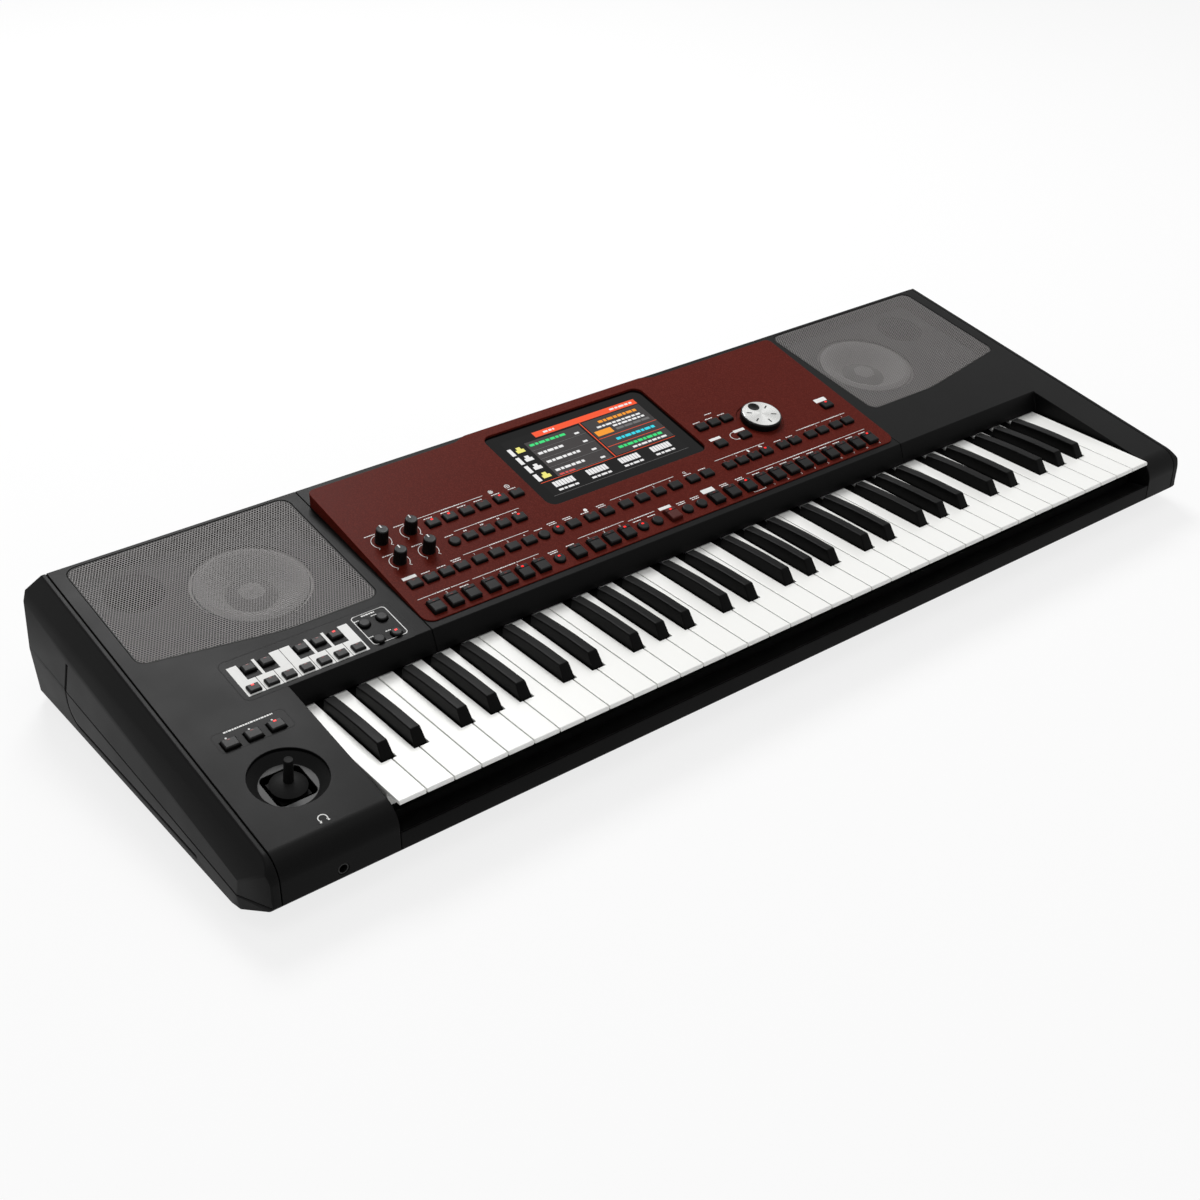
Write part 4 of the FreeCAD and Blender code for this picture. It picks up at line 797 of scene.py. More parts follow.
    @staticmethod
    def height(piece: Piece, place: Matrix) -> float:
        """Measures how high a piece stands above a place, along its own upright.

        Args:
            piece: The finished piece.
            place: The place and its upright.

        Returns:
            The height in millimetres.
        """
        upright = place.to_3x3() @ Vector((0, 0, 1))
        start = place.translation + upright * Bench.above * MM
        bpy.context.view_layer.update()
        found, spot, _, _ = piece.ray_cast(start, -upright)
        if not found:
            raise ValueError(f"{piece.name} has nothing at {place.translation}")
        return (spot - place.translation).dot(upright) / MM

    @staticmethod
    def dress(piece: Piece, finish: Finish) -> Piece:
        """Gives a piece one finish all over.

        Args:
            piece: The piece.
            finish: Its finish.

        Returns:
            The same piece.
        """
        piece.data.materials.clear()
        piece.data.materials.append(finish.material())
        return piece

    @staticmethod
    def paint(piece: Piece, finish: Finish, test: Callable[[Face], bool]) -> None:
        """Gives the faces of a finished piece that pass a test a finish of their own.

        Args:
            piece: The finished piece.
            finish: The faces' finish.
            test: Says yes or no for one face.
        """
        piece.data.materials.append(finish.material())
        for face in piece.data.polygons:
            if test(face):
                face.material_index = len(piece.data.materials) - 1

    @staticmethod
    def dress_node(node: str, finish: Finish) -> None:
        """Gives a CAD node that stays a finish in its own material slots.

        Args:
            node: The CAD node's name.
            finish: Its finish.
        """
        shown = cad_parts[node]
        if not shown.material_slots:
            shown.data.materials.append(finish.material())
        for slot in shown.material_slots:
            slot.material = finish.material()
        LOG.info("%s: dressed", node)

    @staticmethod
    def hand_in(piece: Piece, body: str, slot: str, *nodes: str) -> None:
        """Fixes a finished piece to a body.

        Args:
            piece: The finished piece.
            body: The CAD body that it moves with.
            slot: The record's material slot; not used.
            *nodes: The CAD nodes that it stands for.
        """
        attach(piece, body)
        if nodes:
            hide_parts(*nodes)
        LOG.info("%s: %d faces on %s", piece.name, len(piece.data.polygons), body)


@dataclass(frozen=True)
class Edged:
    """A CAD node that gets the broken edges of a moulded part."""

    node: str
    body: str
    slot: str
    finish: Finish
    edge: float
    steps: int = 2
    angle: float = 32.0
    whole: bool = True
    shape: Callable[[Piece], None] | None = None

    def build(self) -> Piece:
        """Rounds the edges of a merged copy and lets it stand for the node.

        Returns:
            The finished copy.
        """
        piece = Bench.cast(self.node, f"{self.node}_skin", self.whole)
        if self.shape:
            self.shape(piece)
        Bench.bevel(piece, self.edge, self.steps, self.angle)
        Bench.trim(piece, self.node)
        Bench.smooth(piece)
        Bench.dress(piece, self.finish)
        Bench.hand_in(piece, self.body, self.slot, self.node)
        return piece


class Print:
    """Flat marks drawn on a face and then laid on it as one thin layer of ink."""

    dashes = (1.9, 1.2, 2.4, 1.5)
    space = 0.45
    line = 0.5
    arrow = 0.95
    glyph = 1.38
    least = 0.7
    facet = 14.0
    overlap = 1.02
    buried = 0.3

    def __init__(self) -> None:
        """Starts with no marks."""
        self.strokes: list[Callable[[], None]] = []
        self.figures: list[tuple[str, float, float, float]] = []

    def bar(self, x: float, row: float, width: float, depth: float, turn: float = 0.0) -> None:
        """Draws a straight bar by its middle, sizes and turn in degrees.

        Args:
            x: Middle, across.
            row: Middle, up the slope.
            width: Size along the bar.
            depth: Size across it.
            turn: Turn in degrees.
        """
        spot, lean = (x * MM, row * MM, 0.0), math.radians(turn)

        def draw() -> None:
            """Adds a square millimetre and stretches it along its own axes."""
            bpy.ops.mesh.primitive_plane_add(size=MM, location=spot, rotation=(0.0, 0.0, lean))
            bpy.ops.transform.resize(value=(width, depth, 1.0), orient_matrix=Matrix.Rotation(lean, 3, "Z"),
                                     orient_matrix_type="GLOBAL", orient_type="GLOBAL", center_override=spot)

        self.strokes.append(draw)

    def disc(self, x: float, row: float, radius: float, sides: int = 20, turn: float = 0.0) -> None:
        """Draws a filled disc, or a triangle with three sides.

        Args:
            x: Middle, across.
            row: Middle, up the slope.
            radius: Radius.
            sides: Number of sides.
            turn: Turn in degrees.
        """
        self.strokes.append(lambda: bpy.ops.mesh.primitive_circle_add(
            vertices=sides, radius=radius * MM, fill_type="NGON", location=(x * MM, row * MM, 0.0),
            rotation=(0.0, 0.0, math.radians(turn))))

    def arc(self, x: float, row: float, radius: float, line: float, start: float = 0,
            end: float = 360) -> None:
        """Draws part of a ring from one bearing to another, in degrees.

        Args:
            x: Middle, across.
            row: Middle, up the slope.
            radius: Radius of the line's middle.
            line: Width of the line.
            start: First bearing.
            end: Last bearing.
        """
        count = max(3, round(abs(end - start) / self.facet))
        step = (end - start) / count
        chord = 2 * (radius + line / 2) * math.tan(math.radians(abs(step) / 2)) * self.overlap
        for i in range(count):
            bearing = start + step * (i + 0.5)
            dx, dy = turned(radius, bearing)
            self.bar(x + dx, row + dy, chord, line, bearing + 90)

    def frame(self, x: tuple[float, float], row: tuple[float, float], corner: float, line: float) -> None:
        """Draws an outline with round corners.

        Args:
            x: Left and right.
            row: Front and rear.
            corner: Radius of the corners.
            line: Width of the line.
        """
        middle, centre = sum(x) / 2, sum(row) / 2
        for side in (0, 1):
            self.bar(middle, row[side], x[1] - x[0] - 2 * corner, line)
            self.bar(x[side], centre, line, row[1] - row[0] - 2 * corner)
        for i, (px, py) in enumerate(((1, 1), (0, 1), (0, 0), (1, 0))):
            self.arc(x[px] + corner * (-1 if px else 1), row[py] + corner * (-1 if py else 1),
                     corner, line, 90 * i, 90 * i + 90)

    def word(self, x: float, row: float, length: float, height: float = 0.95, dash: float = 1.0) -> None:
        """Draws dashes in the place of a caption.

        Args:
            x: Middle of the caption.
            row: Its row.
            length: Its length.
            height: Height of the dashes.
            dash: Factor on their lengths.
        """
        left, end, i = x - length / 2, x + length / 2, 0
        while left < end - self.least * dash:
            wide = min(self.dashes[i % len(self.dashes)] * dash, end - left)
            self.bar(left + wide / 2, row, wide, height)
            left, i = left + wide + self.space * dash, i + 1

    def figure(self, text: str, x: float, row: float, height: float = 2.3) -> None:
        """Draws a plain number or sign."""
        self.figures.append((text, x, row, height))

    def span(self, left: float, right: float, row: float, gap: float) -> None:
        """Draws a bracket line with a caption gap and an arrow tip on each side of it.

        Args:
            left: Left end.
            right: Right end.
            row: Row of the line.
            gap: Width of the caption's gap.
        """
        middle = (left + right) / 2
        for side in (-1, 1):
            inner, outer = middle + side * gap / 2, middle + side * (right - left) / 2
            self.bar((inner + outer) / 2, row, abs(outer - inner), self.line)
            self.disc(inner, row, self.arrow, 3, -90 * side)
        self.word(middle, row, gap - 3.0)

    def sign(self, name: str, text: str, x: float, row: float, height: float) -> Piece:
        """Makes one number or sign a mesh.

        Args:
            name: The print's name.
            text: The number or sign.
            x: Middle, across.
            row: Middle, up the slope.
            height: Height of the figures.

        Returns:
            The flat mesh.
        """
        bpy.ops.object.select_all(action="DESELECT")
        bpy.ops.object.text_add()
        sign = bpy.context.active_object
        sign.data.body, sign.data.size, sign.data.resolution_u = text, height * self.glyph * MM, 2
        sign.data.align_x, sign.data.align_y = "CENTER", "CENTER"
        bpy.ops.object.convert(target="MESH")
        sign.location = (x * MM, row * MM, 0.0)
        return Bench.settle(sign, f"{name}_sign")

    def make(self, name: str, plane: Plane, finish: Finish, lift: float = 0.0,
             thickness: float = 0.07) -> Piece:
        """Makes the marks one mesh on a face.

        Args:
            name: The piece's name.
            plane: The face.
            finish: The ink.
            lift: Height of the face above the plane, in millimetres.
            thickness: Thickness of the layer.

        Returns:
            The printed layer.
        """
        piece = Bench.add("plane", Matrix(), name, size=MM)
        with Bench.editing(piece):
            bpy.ops.mesh.select_all(action="SELECT")
            bpy.ops.mesh.delete(type="VERT")
            for stroke in self.strokes:
                stroke()
        piece = Bench.join([piece] + [self.sign(name, *figure) for figure in self.figures], name)
        Bench.modify(piece, "SOLIDIFY", thickness=thickness * MM, offset=1.0)
        piece.data.transform(plane.matrix(0.0, 0.0, lift - thickness * self.buried))
        return Bench.dress(piece, finish)


class Shape(Enum):
    """The button forms, as width and depth."""

    SMALL = (11.6, 8.5)
    LARGE = (11.6, 14.0)
    ROUND = (10.0, 10.0)
    PAD = (10.0, 8.0)
    PRESET = (9.2, 9.2)
    SWITCH = (12.0, 9.4)


@dataclass(frozen=True)
class Row:
    """Buttons in one line, with their lamps and the marks printed round them."""

    body: str
    shape: Shape
    start: float
    count: int
    row: float
    pitch: float = 17.0
    lit: tuple[int, ...] = ()
    lamps: bool = True
    marks: tuple[str, ...] = ()
    bracket: float = 0.0

    def centres(self) -> list[float]:
        """Gives the buttons' places across, in millimetres."""
        return [self.start + i * self.pitch for i in range(self.count)]

    def rear(self) -> float:
        """Gives the row of the buttons' rear edge."""
        return self.row + self.shape.value[1] / 2


def across(share: float) -> float:
    """Gives a place across the panel from its share of the panel's width."""
    return -269.5 + share * 530.5


FRONT, THIRD, SECOND, REAR = 12.59, 43.59, 72.01, 100.15
CLOSE, WIDE, OPEN = 15.2, 17.0, 18.9
NUMBERS = tuple("123456789")

PANEL_ROWS = (
    Row("menu_buttons", Shape.SMALL, across(0.135), 4, REAR, WIDE, (0, 1), True, ("word",) * 4, 22.0),
    Row("menu_buttons", Shape.SMALL, across(0.266), 2, REAR, WIDE, (0,), True, ("gear", "globe")),
    Row("menu_buttons", Shape.ROUND, across(0.1406), 1, SECOND, WIDE, (), False, ("word",)),
    Row("menu_buttons", Shape.SMALL, across(0.170), 4, SECOND, WIDE, (3,), True,
        ("back", "on", "start", "play"), 22.0),
    Row("pad_buttons", Shape.SMALL, across(0.032), 4, THIRD, CLOSE, (), True,
        ("box", "word", "word", "lines")),
    Row("pad_buttons", Shape.SMALL, across(0.151), 4, THIRD, WIDE, (), False, NUMBERS[:4], 18.0),
    Row("pad_buttons", Shape.ROUND, across(0.276), 2, THIRD, CLOSE, (1,), False, ("word", "lines")),
    Row("pad_buttons", Shape.SMALL, across(0.335), 1, THIRD, WIDE, (), False, ("lines",)),
    Row("pad_buttons", Shape.SMALL, across(0.372), 2, THIRD, WIDE, (), True, ("record", "lines")),
    Row("pad_buttons", Shape.SMALL, across(0.443), 4, THIRD, OPEN, (), False, NUMBERS[:4], 26.0),
    Row("pad_buttons", Shape.SMALL, across(0.589), 2, THIRD, WIDE, (), False, ("find", "word")),
    Row("variation_buttons", Shape.LARGE, across(0.032), 3, FRONT, WIDE, (), True, ("1", "2", "word"), 16.0),
    Row("variation_buttons", Shape.LARGE, across(0.132), 4, FRONT, WIDE, (2,), True, NUMBERS[:4], 23.0),
    Row("variation_buttons", Shape.ROUND, across(0.264), 1, FRONT, WIDE, (0,), False, ("lines",)),
    Row("variation_buttons", Shape.LARGE, across(0.299), 1, FRONT, WIDE, (), True, ("word",)),
    Row("transport_buttons", Shape.LARGE, across(0.336), 3, FRONT, WIDE, (2,), True, NUMBERS[:3], 17.0),
    Row("transport_buttons", Shape.ROUND, across(0.4337), 2, FRONT, 16.0, (0,), False, ("word",) * 2, 20.0),
    Row("start_stop_button", Shape.LARGE, across(0.4965), 1, FRONT, WIDE, (0,), True, ("box",)),
    Row("transport_buttons", Shape.ROUND, across(0.529), 2, FRONT, 16.0, (), False, ("lines", "lines")),
    Row("transport_buttons", Shape.LARGE, across(0.592), 3, FRONT, OPEN, (2,), True,
        ("tall", "lines", "lines")),
    Row("sound_set_buttons", Shape.LARGE, across(0.699), 9, FRONT, WIDE, (8,), True, ("word",) * 9, 62.0),
    Row("entry_buttons", Shape.SMALL, across(0.672), 4, THIRD, CLOSE, (3,), True,
        ("-", "+", "flag", "beat"), 17.0),
    Row("entry_buttons", Shape.SMALL, across(0.797), 2, THIRD, CLOSE, (), True, ("word", "word")),
    Row("entry_buttons", Shape.SMALL, across(0.8645), 2, THIRD, CLOSE, (), False, ("-", "+"), 20.0),
    Row("entry_buttons", Shape.SMALL, across(0.927), 2, THIRD, CLOSE, (), False, ("-", "+"), 20.0),
    Row("entry_buttons", Shape.SMALL, across(0.6985), 3, REAR, CLOSE, (), False, ("word",) * 3),
    Row("entry_buttons", Shape.SMALL, across(0.6985), 2, SECOND, 29.5, (), False, ("box", "box")),
    Row("entry_buttons", Shape.SMALL, across(0.955), 1, SECOND, WIDE, (0,), True, ("tall",)),
)

TOP_ROWS = (
    Row("scale_buttons", Shape.PAD, -420.36, 7, 10.17, 15.0, (0,)),
    Row("scale_buttons", Shape.PAD, -412.96, 2, 31.64, 15.0),
    Row("scale_buttons", Shape.PAD, -367.96, 3, 31.64, 15.0, (2,)),
    Row("scale_buttons", Shape.PRESET, -311.55, 2, 10.17, 16.0, (1,), False),
    Row("scale_buttons", Shape.PRESET, -311.55, 2, 31.64, 16.0, (), False),
    Row("assign_switches", Shape.SWITCH, -462.96, 3, -32.39, 18.6, (2,)),
)

# Strokes of each mark behind a button: the tool, its place from the mark's place, and its sizes
MARKS: dict[str, tuple[tuple, ...]] = {
    "word": (("word", 0, 0, 9.0),),
    "lines": (("word", 0, 0, 8.0), ("word", 0, 2.1, 9.5)),
    "box": (("bar", 0, 1.0, 13.0, 3.4),),
    "tall": (("bar", 0, 1.9, 14.0, 5.4),),
    "back": tuple(("disc", shift, 0.2, 1.1, 3, 90) for shift in (-0.9, 0.9)),
    "on": tuple(("disc", shift, 0.2, 1.1, 3, -90) for shift in (-0.9, 0.9)),
    "start": (("disc", 0.4, 0.2, 1.1, 3, 90), ("bar", -1.0, 0.2, 0.5, 1.9)),
    "play": (("disc", -1.6, 0.2, 1.2, 3, -90), ("bar", 0.4, 0.2, 0.6, 2.0), ("bar", 1.6, 0.2, 0.6, 2.0)),
    "record": (("word", -1.6, 0, 9.0), ("disc", 1.0, 2.8, 1.9)),
    "find": (("word", 0, 0, 9.0), ("arc", -1.4, 3.4, 1.2, 0.5), ("bar", -0.2, 2.3, 1.8, 0.6, -45)),
    "gear": (("word", 0, 0, 9.0), ("arc", -2.4, 4.4, 1.4, 1.2),
             *(("bar", -2.4, 4.4, 5.0, 0.7, turn) for turn in (0, 45, 90, 135))),
    "globe": (("word", 0, 0, 8.0), ("arc", -2.0, 4.4, 2.2, 0.6), ("bar", -2.0, 4.4, 4.4, 0.5),
              ("bar", -2.0, 4.4, 0.5, 4.4)),
    "flag": (("bar", 0, 0.9, 2.0, 3.0, 20),),
    "beat": (("bar", 0, 1.0, 1.6, 3.4, 35), ("bar", -1.2, 1.6, 0.6, 2.6, -20)),
}

KNOB_ROWS = (100.6, 72.8)
KNOB_COLUMNS = (-248.5, -220.3)


@dataclass
class CaseShell:
    """The black case: three top sections, two cheeks, the tray and the key slip."""

    top_edge: float = 0.6
    cheek_edge: float = 1.2
    tray_edge: float = 1.0
    baffle: tuple[float, float] = (-15.0, -13.0)

    def build(self) -> None:
        """Breaks the edges of each moulding and paints the baffles."""
        for node in ("left_top_case", "centre_top_case", "right_top_case"):
            shell = Edged(node, "case", "black_case", Finish.CASE, self.top_edge, 3, whole=False).build()
            Bench.paint(shell, Finish.BAFFLE, lambda face: TOP.floors(face, *self.baffle))
        for node in ("left_side_cheek", "right_side_cheek"):
            Edged(node, "case", "black_case", Finish.CASE, self.cheek_edge, 3).build()
        Edged("bottom_case", "case", "bottom_black", Finish.BOTTOM, self.tray_edge, whole=False).build()
        Edged("key_slip", "case", "black_case", Finish.WELL, self.tray_edge).build()
        Edged("rubber_feet", "case", "rubber_black", Finish.RUBBER, self.cheek_edge, 3).build()


@dataclass
class KeyRows:
    """The 61 keys: the white ones polished, the black ones satin."""

    white_edge: float = 0.5
    black_edge: float = 1.1
    lip_height: float = 4.2
    lip_thinned: float = 0.9
    lip_depth: float = 2.0
    undercut: float = 15.0

    def lip(self, piece: Piece) -> None:
        """Thins the overhanging lips of white keys and sets the walls below them back.

        Args:
            piece: A copy of a node of white keys.
        """
        top = max(v.co.z for v in piece.data.vertices)
        front = min(v.co.y for v in piece.data.vertices)
        under, wall = top - self.lip_height * MM, front + self.lip_depth * MM
        with Bench.editing(piece):
            Bench.pick(piece, lambda f: f.normal.y < -0.9 and abs(f.calc_center_median().y - wall) < 1e-4)
            Bench.shift(0, self.undercut, 0)
            Bench.pick(piece, lambda f: f.normal.z < -0.9 and abs(f.calc_center_median().z - under) < 1e-4)
            Bench.shift(0, 0, self.lip_thinned)

    def build(self) -> None:
        """Rounds every key and fixes it to its own hinge."""
        for node in ("lower_white_keys", "upper_white_keys", *(f"key_{n}" for n in "cdefgab")):
            Edged(node, node, "white_key", Finish.WHITE_KEY, self.white_edge, 3, shape=self.lip).build()
        for node in ("lower_black_keys", "upper_black_keys", *(f"key_{n}_flat" for n in "degab")):
            Edged(node, node, "black_key", Finish.BLACK_KEY, self.black_edge, 3).build()


@dataclass
class Buttons:
    """The button banks with the lamps let into their tops."""

    edge: float = 0.35
    edge_angle: float = 40.0
    lamp: tuple[float, float, float] = (2.6, 1.0, 0.5)
    lamp_edge: float = 0.2
    lamp_rise: float = 0.12
    lamp_back: float = 0.4
    flat_inset: float = 0.16
    round_inset: float = 0.3
    glow: tuple[float, float] = (0.95, 1.9)
    skins: dict[str, Piece] = field(default_factory=dict)

    def build(self) -> None:
        """Builds the banks and their lamps."""
        for node in ("menu_buttons", "pad_buttons", "variation_buttons", "transport_buttons",
                     "sound_set_buttons", "entry_buttons", "scale_buttons", "assign_switches",
                     "start_stop_button"):
            red = node == "start_stop_button"
            slot, finish = ("button_red", Finish.RED_BUTTON) if red else ("button_black", Finish.BUTTON)
            self.skins[node] = Edged(node, node, slot, finish, self.edge, angle=self.edge_angle).build()
        lamp = self.lens()
        for plane, rows in ((PANEL, PANEL_ROWS), (TOP, TOP_ROWS)):
            for body in dict.fromkeys(row.body for row in rows):
                for lit in (True, False):
                    self.lamps(lamp, plane, [row for row in rows if row.body == body], lit)
        Bench.drop(lamp)

    def lens(self) -> Piece:
        """Models one lamp lens lying flat at the origin.

        Returns:
            The lens.
        """
        lamp = Bench.cube(self.lamp, Matrix(), "lamp_lens")
        with Bench.editing(lamp):
            Bench.pick(lamp, lambda f: f.normal.z > 0.5)
            Bench.round_off(self.lamp_edge, 2)
        return lamp

    def lamps(self, lamp: Piece, plane: Plane, rows: Sequence[Row], lit: bool) -> None:
        """Sets copies of the lens into the buttons of one bank.

        Args:
            lamp: The lens.
            plane: The face that the buttons stand on.
            rows: The bank's rows.
            lit: Whether the lit or the dark lamps are set.
        """
        body, set_in = rows[0].body, []
        spread = Matrix.Diagonal((*self.glow, 1.0, 1.0)) if lit else Matrix()
        for row in rows:
            inset = self.round_inset if row.shape in (Shape.ROUND, Shape.PRESET) else self.flat_inset
            for i, x in enumerate(row.centres()):
                if (i in row.lit) != lit or not (row.lamps or lit):
                    continue
                place = plane.matrix(x, row.rear() - row.shape.value[1] * inset - self.lamp_back)
                lift = Bench.height(self.skins[body], place) + self.lamp_rise - self.lamp[2] / 2
                raised = place @ Matrix.Translation((0, 0, lift * MM))
                set_in.append(Bench.copy(lamp, raised @ spread, "lamp"))
        if set_in:
            piece = Bench.join(set_in, f"{body}_lamps_{'lit' if lit else 'dark'}")
            Bench.dress(piece, Finish.LAMP_ON if lit else Finish.LAMP_OFF)
            Bench.hand_in(piece, body, "button_red")


@dataclass
class PanelPrint:
    """White marks on the control panel and on the left section."""

    caption_gap: float = 3.5
    bracket_gap: float = 7.0
    bracket_past: tuple[float, float] = (-0.75, 0.6)
    number: float = 2.3
    knob_arc: float = 8.6
    knob_ends: tuple[float, float] = (-50, 230)
    phones: tuple[float, float] = (-444.7, -128.4)

    def mark(self, ink: Print, kind: str, x: float, row: float) -> None:
        """Draws the mark behind one button: a known one, or else the number or sign itself.

        Args:
            ink: The layer.
            kind: The mark's name, or the number or sign.
            x: Place across.
            row: Row of the caption.
        """
        if kind not in MARKS:
            ink.figure(kind, x, row + 0.1, self.number)
        for tool, shift, rise, *sizes in MARKS.get(kind, ()):
            getattr(ink, tool)(x + shift, row + rise, *sizes)

    def rows(self, ink: Print) -> None:
        """Draws the captions, numbers and brackets behind the button rows.

        Args:
            ink: The layer.
        """
        for row in PANEL_ROWS:
            width, xs = row.shape.value[0], row.centres()
            for x, kind in zip(xs, row.marks):
                self.mark(ink, kind, x, row.rear() + self.caption_gap)
            if row.bracket:
                left, right = (x + width * past for x, past in zip((xs[0], xs[-1]), self.bracket_past))
                ink.span(left, right, row.rear() + self.bracket_gap, row.bracket)

    def panel(self) -> Piece:
        """Draws everything on the red panel.

        Returns:
            The printed layer.
        """
        ink, sounds, leave = Print(), across(0.699), across(0.6985) + 29.5
        self.rows(ink)
        for i, text in enumerate(NUMBERS):
            ink.figure(text, sounds + WIDE * i + 5.5, FRONT - 9.2, 2.1)
        ink.bar(sounds - 12.0, FRONT - 9.6, 14.0, ink.line)
        for side in (-7.0, 7.0):
            ink.bar(sounds - 12.0 + side, FRONT - 9.0, ink.line, 1.6)
        for x in KNOB_COLUMNS:
            for row in KNOB_ROWS:
                ink.arc(x, row, self.knob_arc, ink.line, *self.knob_ends)
                for bearing in self.knob_ends:
                    dx, dy = turned(self.knob_arc + 1.0, bearing)
                    ink.bar(x + dx, row + dy, 2.4, ink.line, bearing)
                ink.word(x - 5.0, row + 10.5, 10.0)
        ink.arc(leave - 8.5, SECOND + 3.5, 5.2, 0.6, 95, 265)
        ink.bar(leave - 2.5, SECOND + 8.7, 12.0, 0.6)
        ink.disc(leave - 8.0, SECOND - 1.7, 1.2, 3, -90)
        ink.word(across(0.735), 114.0, 9.0)
        return ink.make("panel_print", PANEL, Finish.INK)

    def left(self) -> tuple[Piece, Piece]:
        """Draws the scale pad, the switch field and the headphone sign.

        Returns:
            The white layer and the dark one.
        """
        ink, dark = Print(), Print()
        slots = [x for row in TOP_ROWS[1:3] for x in row.centres()]
        for x in TOP_ROWS[0].centres():
            ink.bar(x, 13.0, 14.5, 16.8)
            left = max([x - 7.25] + [s + 6.3 for s in slots if x - 15 < s < x])
            right = min([x + 7.25] + [s - 6.3 for s in slots if x < s < x + 15])
            ink.bar((left + right) / 2, 30.6, right - left, 18.6)
        ends = (6.5, 43.2)
        for row in ends:
            ink.bar(-302.4, row, 24.0, 0.7)
        ink.frame((-317.7, -287.0), ends, 3.2, 0.7)
        ink.word(-303.0, 41.0, 12.0, 1.5)
        for row in TOP_ROWS[3:5]:
            for x in row.centres():
                ink.word(x - 4.0, row.rear() + 1.4, 5.0, 0.9)
        for x in TOP_ROWS[5].centres():
            ink.disc(x, TOP_ROWS[5].rear() + 2.4, 0.8, 12)
        ink.word(-442.0, -19.6, 40.0, 1.5)
        x, row = self.phones
        ink.arc(x, row, 3.4, 0.8, -45, 225)
        for side in (-1, 1):
            ink.bar(x + side * 2.9, row - 2.5, 1.3, 2.4, side * 20)
        dark.frame((-432.0, -281.0), (0.4, 47.8), 6.0, 0.9)
        dark.frame((-472.3, -413.0), (-39.1, -17.8), 4.0, 0.6)
        dark.disc(x, row - 0.5, 6.0, 40)
        return ink.make("left_print", TOP, Finish.INK, 0.04), dark.make("left_outlines", TOP, Finish.DARK_INK)

    def build(self) -> None:
        """Lays the printed layers on the case."""
        for piece in (self.panel(), *self.left()):
            Bench.hand_in(piece, "case", "black_case")


@dataclass
class Knobs:
    """Four fluted knobs with white pointers."""

    radius: float = 5.8
    top_radius: float = 5.2
    height: float = 13.4
    lift: float = 0.3
    flute_count: int = 20
    flute: float = 0.35
    flute_inset: float = 0.12
    crown: float = 1.0
    dish: tuple[float, float] = (0.9, 0.25)
    pointer: tuple[float, float, float] = (1.1, 3.6, 0.3)
    pointer_reach: float = 3.2
    pointer_bend: tuple[tuple[float, float], ...] = ((0.75, -0.9), (0.2, -3.6))

    def fluted(self, face: bmesh.types.BMFace) -> bool:
        """Takes every second side wall round the knob."""
        bearing = math.atan2(face.normal.y, face.normal.x) * self.flute_count / math.pi
        return abs(face.normal.z) < 0.3 and face.calc_area() > 4e-6 and round(bearing - 0.5) % 2 == 0

    def model(self) -> Piece:
        """Models one knob standing at the origin.

        Returns:
            The knob.
        """
        middle = Matrix.Translation((0, 0, self.height / 2 * MM))
        knob = Bench.drum(self.radius, self.height, middle, "knob", 2 * self.flute_count)
        share, rim = self.top_radius / self.radius, self.height * MM - 1.1e-5
        with Bench.editing(knob):
            Bench.pick(knob, lambda f: f.normal.z > 0.9)
            bpy.ops.transform.resize(value=(share, share, 1.0))
            Bench.round_off(self.crown, 3)
            Bench.pick(knob, self.fluted)
            bpy.ops.mesh.inset(thickness=self.flute_inset * MM, use_individual=True)
            bpy.ops.transform.shrink_fatten(value=-self.flute * MM)
            Bench.pick(knob, lambda f: f.normal.z > 0.99 and f.calc_center_median().z > rim)
            Bench.sink(*self.dish)
        Bench.smooth(knob, 34.0)
        return Bench.dress(knob, Finish.KNOB)

    def hand(self) -> Piece:
        """Models one pointer: a line on the top that runs over the edge.

        Returns:
            The pointer.
        """
        place = Matrix.Translation((0, self.pointer_reach * MM, self.height * MM))
        mark = Bench.cube(self.pointer, place, "hand")
        with Bench.editing(mark):
            Bench.pick(mark, lambda f: f.normal.y > 0.9)
            for out, down in self.pointer_bend:
                Bench.pull(0, out, down)
        return Bench.dress(mark, Finish.INK)

    def build(self) -> None:
        """Sets the four knobs on the panel."""
        knob, hand = self.model(), self.hand()
        places = [(x, row) for row in KNOB_ROWS for x in KNOB_COLUMNS]
        names = ("volume_knob", "balance_knob", "left_assign_knob", "right_assign_knob")
        for node, (x, row) in zip(names, places):
            place = PANEL.matrix(x, row, self.lift)
            Bench.hand_in(Bench.copy(knob, place, f"{node}_fluted"), node, "knob_black", node)
            Bench.hand_in(Bench.copy(hand, place, f"{node}_pointer"), node, "white_key")
        Bench.drop(knob)
        Bench.drop(hand)


